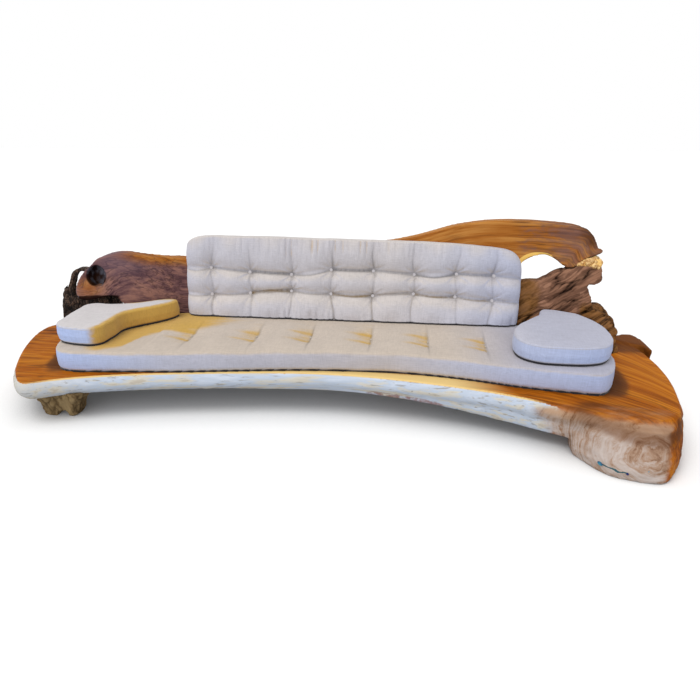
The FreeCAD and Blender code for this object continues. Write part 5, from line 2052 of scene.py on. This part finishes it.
@dataclass
class BackCushion(Cushion):
    """The long back cushion with two rows of buttons, creases and gathers."""

    lean: float = math.radians(11.0)
    crease: float = 0.017
    pucker: float = 0.0030
    gather: float = 0.0065
    button_dent: float = 0.010
    valley: float = 0.050
    ends: Band = (-1.02, 1.26)
    foot_up: float = 0.40
    head_up: float = 1.05
    top_gap: float = 0.19
    pleat: float = 0.046
    warm_left: Band = (-0.40, -0.25)
    warm_right: Band = (0.5, 0.3)
    foot_band: Band = (0.41, 0.44)

    def build(self, material: Material) -> None:
        """Sinks the creases between the buttons, gathers the cloth and hands the cushion over.

        Args:
            material: the linen.
        """
        thing, points, normals = skin(self.cover, self.pitch, hollow=True)
        x, y, z = points.T
        up = z * math.cos(self.lean) + y * math.sin(self.lean)
        front = step(normals @ np.array([0.0, -math.cos(self.lean), math.sin(self.lean)]), 0.10, 0.55)
        low, high = self.rows()
        lift, fold = self.creases(x, up, low, high)
        lift += self.puckers(x, up, [*low, *high])
        lift += self.gathers(x, up, low, high)
        lift *= front
        lift += rough(points, 6.0, 51.0, 3) * 2.0 * MM * step(z, *self.foot_band)
        push_out(thing, points, normals, lift)
        # Painted ochre shade in the lower creases and in the valleys of the gathers at the top.
        warm = fold * 0.55 * step(z, 0.75, 0.55) + self.warm_gathers(x, up, high)
        self.finish(thing, material, np.clip(warm, 0, 1) * front, np.clip(fold * front, 0, 1))

    def rows(self) -> tuple[list[Spot], list[Spot]]:
        """Finds the buttons.

        Returns:
            The lower and the upper row, as place along the bench and height up the lean.
        """
        cos, sin = math.cos(self.lean), math.sin(self.lean)
        spots = [(m[0], m[2] * cos + m[1] * sin) for m in islands("back_cushion_buttons")]
        middle = float(np.median([up for _, up in spots]))
        return sorted(s for s in spots if s[1] < middle), sorted(s for s in spots if s[1] >= middle)

    def creases(self, x: Array, up: Array, low: list[Spot], high: list[Spot]) -> tuple[Array, Array]:
        """Lays the valleys along both rows and up through each pair of buttons.

        Args:
            x: place along the bench.
            up: height up the lean.
            low: the lower buttons.
            high: the upper buttons.

        Returns:
            The lift, which is below zero in a valley, and the valleys' shade.
        """
        valleys = [self.level_crease(x, up, row, sag) for row, sag in ((low, 0.007), (high, 0.010))]
        valleys += [self.upright_crease(x, up, *pair, n) for n, pair in enumerate(zip(low, high))]
        depths, shades = zip(*valleys)
        return -np.sum(depths, axis=0), np.max(shades, axis=0)

    def level_crease(self, x: Array, up: Array, row: list[Spot], sag: float) -> tuple[Array, Array]:
        """A valley that runs from button to button along a row.

        Args:
            x: place along the bench.
            up: height up the lean.
            row: the row's buttons.
            sag: how far the valley hangs between two buttons.

        Returns:
            The valley's depth and its shade.
        """
        xs = np.array([self.ends[0], *(spot[0] for spot in row), self.ends[1]])
        us = np.array([row[0][1] - 0.012, *(spot[1] for spot in row), row[-1][1] - 0.02])
        bay = np.clip(np.searchsorted(xs, x) - 1, 0, len(xs) - 2)
        share = np.clip((x - xs[bay]) / (xs[bay + 1] - xs[bay]), 0, 1)
        hang = np.sin(math.pi * share) * sag * (np.cos(2.1 * bay + sag * 300) - 0.5)
        away = up - us[bay] - (us[bay + 1] - us[bay]) * share - hang
        outer = (bay == 0) | (bay == len(xs) - 2)
        strength = np.where(outer, 0.45, 0.8 + 0.2 * np.cos(3.3 * bay))
        form = 0.70 * np.exp(-np.abs(away) / 0.009) + 0.60 * hill(away, self.valley)
        return self.crease * strength * form, strength * hill(away, 0.0065)

    def upright_crease(self, x: Array, up: Array, under: Spot, over: Spot, n: int) -> tuple[Array, Array]:
        """A valley from the bottom edge through a lower and an upper button to the top edge.

        Args:
            x: place along the bench.
            up: height up the lean.
            under: the lower button.
            over: the upper button.
            n: the pair's number, which varies the valley.

        Returns:
            The valley's depth and its shade.
        """
        lean_low = 0.030 * math.sin(2.3 * n + 0.4)
        lean_high = 0.026 * math.sin(1.9 * n + 2.0)
        ups = (self.foot_up, under[1], over[1], self.head_up)
        xs = (under[0] + lean_low, under[0], over[0], over[0] + lean_high)
        away = x - np.interp(up, ups, xs) - 0.006 * np.sin(up * 22 + n)
        middle = step(up, under[1] - 0.01, under[1] + 0.01) * step(up, over[1] + 0.01, over[1] - 0.01)
        strength = 0.75 - 0.25 * middle + 0.25 * math.sin(5.0 * n) * (1 - middle)
        strength = strength * step(up, over[1] + 0.22, over[1] + 0.05)
        form = 0.65 * np.exp(-np.abs(away) / 0.008) + 0.60 * hill(away, self.valley)
        return self.crease * strength * form, strength * hill(away, 0.006) * 0.7

    def puckers(self, x: Array, up: Array, buttons: list[Spot]) -> Array:
        """Folds that run out from each button like spokes, about a dent.

        Args:
            x: place along the bench.
            up: height up the lean.
            buttons: all front buttons.

        Returns:
            The lift.
        """
        lift = np.zeros(len(x))
        for n, (cx, cu) in enumerate(buttons):
            away = np.hypot(x - cx, up - cu)
            turn = np.arctan2(up - cu, x - cx)
            spokes = np.sin((7 + n % 3) * turn + 1.7 * n) + 0.5 * np.sin((13 + n % 4) * turn + n)
            lift += self.pucker * spokes * hill(away, 0.075) * step(away, 0.008, 0.034)
            lift -= self.button_dent * hill(away, 0.045)
        return lift

    def gathers(self, x: Array, up: Array, low: list[Spot], high: list[Spot]) -> Array:
        """Narrow upright folds that run in from the top and bottom edges.

        Args:
            x: place along the bench.
            up: height up the lean.
            low: the lower buttons.
            high: the upper buttons.

        Returns:
            The lift.
        """
        top_edge, folds = self.pleats(x, up, high)
        busy = 0.25 + 0.75 * hill(x - 0.02, 0.62)
        near_top = step(up, top_edge - 0.15, top_edge - 0.01) * busy
        foot = low[0][1]
        often = 0.3 + 0.7 * step(np.cos(4.0 * x + 0.7), 0.1, 0.9)
        near_bottom = step(up, foot - 0.06, foot - 0.125) * often
        return self.gather * folds * (near_top + near_bottom * 0.9)

    def pleats(self, x: Array, up: Array, high: list[Spot]) -> tuple[Array, Array]:
        """Lays narrow valleys between broad, round folds of uneven width.

        Args:
            x: place along the bench.
            up: height up the lean.
            high: the upper buttons.

        Returns:
            The top edge's height up the lean, and the folds' height about zero.
        """
        top_edge = np.interp(x, [spot[0] for spot in high], [spot[1] + self.top_gap for spot in high])
        drift = 0.012 * np.sin(9 * x + 1.0) + 0.02 * (up - top_edge) * np.sin(5 * x)
        turns = (x + drift + 0.010 * np.sin(x * 23.0) + 0.006 * np.sin(x * 61.0)) / self.pleat
        narrow = np.abs(np.cos(math.pi * turns)) ** 5
        return top_edge, 0.55 - 1.9 * narrow * (0.7 + 0.3 * np.sin(x * 37.0))

    def warm_gathers(self, x: Array, up: Array, high: list[Spot]) -> Array:
        """Finds where painted ochre shade goes, down in the valleys of the gathers at the top.

        Args:
            x: place along the bench.
            up: height up the lean.
            high: the upper buttons.

        Returns:
            How much painted ochre shade each point takes.
        """
        top_edge, folds = self.pleats(x, up, high)
        near_top = step(up, top_edge - 0.13, top_edge - 0.04)
        return step(folds, -0.15, -0.75) * near_top * between(x, self.warm_left, self.warm_right) * 0.36


@dataclass
class ArmCushion(Cushion):
    """A kidney-shaped arm cushion with a boxed side."""

    # Where the painted warm light on the inner side ends, and over how far it fades.
    ochre_light_to: float | None = None
    ochre_light_fade: float = 0.11
    foot_band: Band = (0.402, 0.42)
    tuck_side: Band = (0.418, 0.399)
    rim_side: Band = (0.46, 0.50)
    rim_fade: Band = (0.060, 0.004)

    def build(self, material: Material) -> None:
        """Lets the cloth ripple, paints warm light on the inner side when given where it ends, and hands the
        cushion over.

        Args:
            material: the linen.
        """
        thing, points, normals = skin(self.cover, self.pitch, hollow=True)
        x, y, z = points.T
        side = step(1 - np.abs(normals[:, 2]), 0.4, 0.8)
        sway = rough(points, 5.0, 61.0, 3) * 2.4 * MM
        turn = np.arctan2(y - y.mean(), x - x.mean())
        pleats = np.sin(turn * 46 + 3 * np.sin(turn * 5)) * 1.3 * MM
        pleats *= side * step(z, 0.47, 0.42) * step(np.sin(turn * 3.0 + 1.0), 0.2, 0.9)
        tuck = side * step(z, *self.tuck_side) * self.tuck
        lift = (sway + pleats) * step(z, *self.foot_band) - tuck
        push_out(thing, points, normals, lift)
        # Painted warm light on the inner side, fading out over the rim of the top.
        ochre_light = np.zeros(len(points))
        if self.ochre_light_to is not None:
            inner = side * step(x, self.ochre_light_to - self.ochre_light_fade, self.ochre_light_to)
            ochre_light = self.over_the_edge(points, inner) * 1.1
        self.finish(thing, material, ochre_light, np.zeros(len(points)))

    def over_the_edge(self, points: Array, ochre_light: Array) -> Array:
        """Lets the painted warm light on the side fade out over the rim of the top.

        Args:
            points: the cushion's points.
            ochre_light: how much painted warm light its side takes.

        Returns:
            The painted warm light with its fading border.
        """
        low, high = self.rim_side
        z = points[:, 2]
        flat = in_plan(points)
        tree = tree_of(flat, np.flatnonzero((z > low) & (z < high) & (ochre_light > 0.0)))
        spread = ochre_light.copy()
        for row in np.flatnonzero(z > high):
            _, near, far = tree.find(flat[row])
            spread[row] = max(ochre_light[row], ochre_light[near] * float(step(np.array(far), *self.rim_fade)))
        return spread


# Studio


@dataclass
class Studio:
    """A plain pale floor, soft light and the camera."""

    eye: tuple[float, float, float] = (0.4795, -2.9965, 1.65)
    pitch_down: float = 23.46
    turn: float = 5.9
    focal_share: float = 530 / 700
    sensor: float = 36.0
    view_end: float = 200.0
    floor_size: float = 60.0
    floor_seen: Colour = (0.92, 0.92, 0.92)
    floor_shade: Colour = (0.36, 0.36, 0.37)
    floor_plain: Colour = (0.45, 0.45, 0.45)
    floor_glow: float = 0.04
    shade_reach: float = 0.55
    world_strength: float = 0.70
    key: tuple[float, float, float] = (0.50, 0.35, -1.30)
    key_softness: float = 34.0
    fill: tuple[float, float, float] = (0.10, 1.00, -0.35)
    fill_softness: float = 70.0
    lamp_strength: float = 1.15

    def build(self) -> None:
        """Sets the camera, floor, world and lamps."""
        scene = bpy.context.scene
        scene.view_settings.view_transform = "Standard"
        self.camera(scene)
        self.floor()
        self.world(scene)
        self.sun("key", self.key, self.lamp_strength, self.key_softness)
        self.sun("fill", self.fill, self.lamp_strength, self.fill_softness)

    def camera(self, scene: bpy.types.Scene) -> None:
        """Places the camera where the photograph was taken.

        Args:
            scene: the scene.
        """
        lens = bpy.data.cameras.new("camera")
        lens.sensor_width = self.sensor
        lens.lens = self.focal_share * self.sensor
        lens.clip_end = self.view_end
        camera = bpy.data.objects.new("camera", lens)
        camera.location = self.eye
        camera.rotation_euler = (math.radians(90 - self.pitch_down), 0.0, math.radians(self.turn))
        scene.collection.objects.link(camera)
        scene.camera = camera

    def floor(self) -> None:
        """Lays a pale floor that the camera sees as white where it is lit."""
        half = self.floor_size / 2
        corners = [(-half, -half, 0), (half, -half, 0), (half, half, 0), (-half, half, 0)]
        mesh = bpy.data.meshes.new("floor")
        mesh.from_pydata(corners, [], [(0, 1, 2, 3)])
        thing = bpy.data.objects.new("floor", mesh)
        bpy.context.scene.collection.objects.link(thing)
        mesh.materials.append(self.floor_finish())

    def floor_finish(self) -> Material:
        """Makes the floor's material, which is darker right beside and under the bench.

        Returns:
            The material.
        """
        desk = Desk("pale_floor")
        seen = desk.node("ShaderNodeLightPath", {}, {}, "Is Camera Ray")
        plain = desk.node("ShaderNodeBsdfDiffuse", {}, {"Color": self.floor_plain}, "BSDF")
        opened = desk.node("ShaderNodeAmbientOcclusion", {"samples": 8}, {"Distance": self.shade_reach}, "AO")
        tone = desk.mix(opened.ramp(0.15, 0.85), self.floor_shade, self.floor_seen)
        white = desk.node("ShaderNodeBsdfDiffuse", {}, {"Color": tone}, "BSDF")
        glow = desk.node("ShaderNodeEmission", {}, {"Strength": self.floor_glow}, "Emission")
        both = desk.node("ShaderNodeAddShader", {}, {0: white, 1: glow})
        blend = desk.node("ShaderNodeMixShader", {}, {0: seen, 1: plain, 2: both})
        desk.feed(desk.output.inputs["Surface"], blend)
        return desk.material

    def world(self, scene: bpy.types.Scene) -> None:
        """Sets even pale light from all round, and white behind the object.

        Args:
            scene: the scene.
        """
        world = bpy.data.worlds.new("studio")
        world.use_nodes = True
        tree = world.node_tree
        tree.nodes.clear()
        output = tree.nodes.new("ShaderNodeOutputWorld")
        path = tree.nodes.new("ShaderNodeLightPath")
        blend = tree.nodes.new("ShaderNodeMixShader")
        tree.links.new(path.outputs["Is Camera Ray"], blend.inputs[0])
        for place, strength in ((1, self.world_strength), (2, 1.0)):
            light = tree.nodes.new("ShaderNodeBackground")
            light.inputs["Color"].default_value = (*WHITE, 1.0)
            light.inputs["Strength"].default_value = strength
            tree.links.new(light.outputs[0], blend.inputs[place])
        tree.links.new(blend.outputs[0], output.inputs["Surface"])
        scene.world = world

    @staticmethod
    def sun(name: str, heading: Sequence[float], strength: float, softness: float) -> None:
        """Adds one even, soft light from far away.

        Args:
            name: the light's name.
            heading: where its light travels.
            strength: its strength in watts on a square metre.
            softness: its angle across in degrees, which blurs its shadows.
        """
        data = bpy.data.lights.new(name, "SUN")
        data.energy = strength
        data.angle = math.radians(softness)
        thing = bpy.data.objects.new(name, data)
        thing.rotation_euler = Vector(heading).to_track_quat("-Z", "Y").to_euler()
        bpy.context.scene.collection.objects.link(thing)


def build_cushions() -> None:
    """Builds the four loose cushions in one linen."""
    linen = Linen().build()
    seat = SeatCushion(
        "seat_cushion_cover",
        "seat_cushion_linen",
        Body.SEAT,
        inner=("seat_cushion_foam",),
        pitch=9.5 * MM,
        fill=0.9,
        lay=0.8,
        seams=(0.393,),
    )
    back = BackCushion(
        "back_cushion_cover",
        "back_cushion_linen",
        Body.BACK,
        inner=("back_cushion_filling",),
        pitch=6.0 * MM,
        fill=0.7,
        lay=0.25,
        chill=0.6,
    )
    seat.build(linen)
    back.build(linen)
    for body, ochre_light_to in ((Body.LEFT_ARM, -1.31), (Body.RIGHT_ARM, None)):
        arm = ArmCushion(
            body.value + "_cover",
            body.value + "_linen",
            body,
            inner=(body.value + "_foam",),
            pitch=5.0 * MM,
            fill=0.9,
            seams=(0.502,),
            ochre_light_to=ochre_light_to,
        )
        arm.build(linen)


def main() -> None:
    """Builds the bench's looks in order and sets the studio."""
    logging.basicConfig(level=logging.INFO, format="%(message)s")
    SlabPiece().build()
    PlankPiece().build()
    PostPiece().build()
    StumpPiece().build()
    dress_feet()
    dress_small_parts()
    build_cushions()
    Studio().build()


if __name__ == "__main__":
    main()
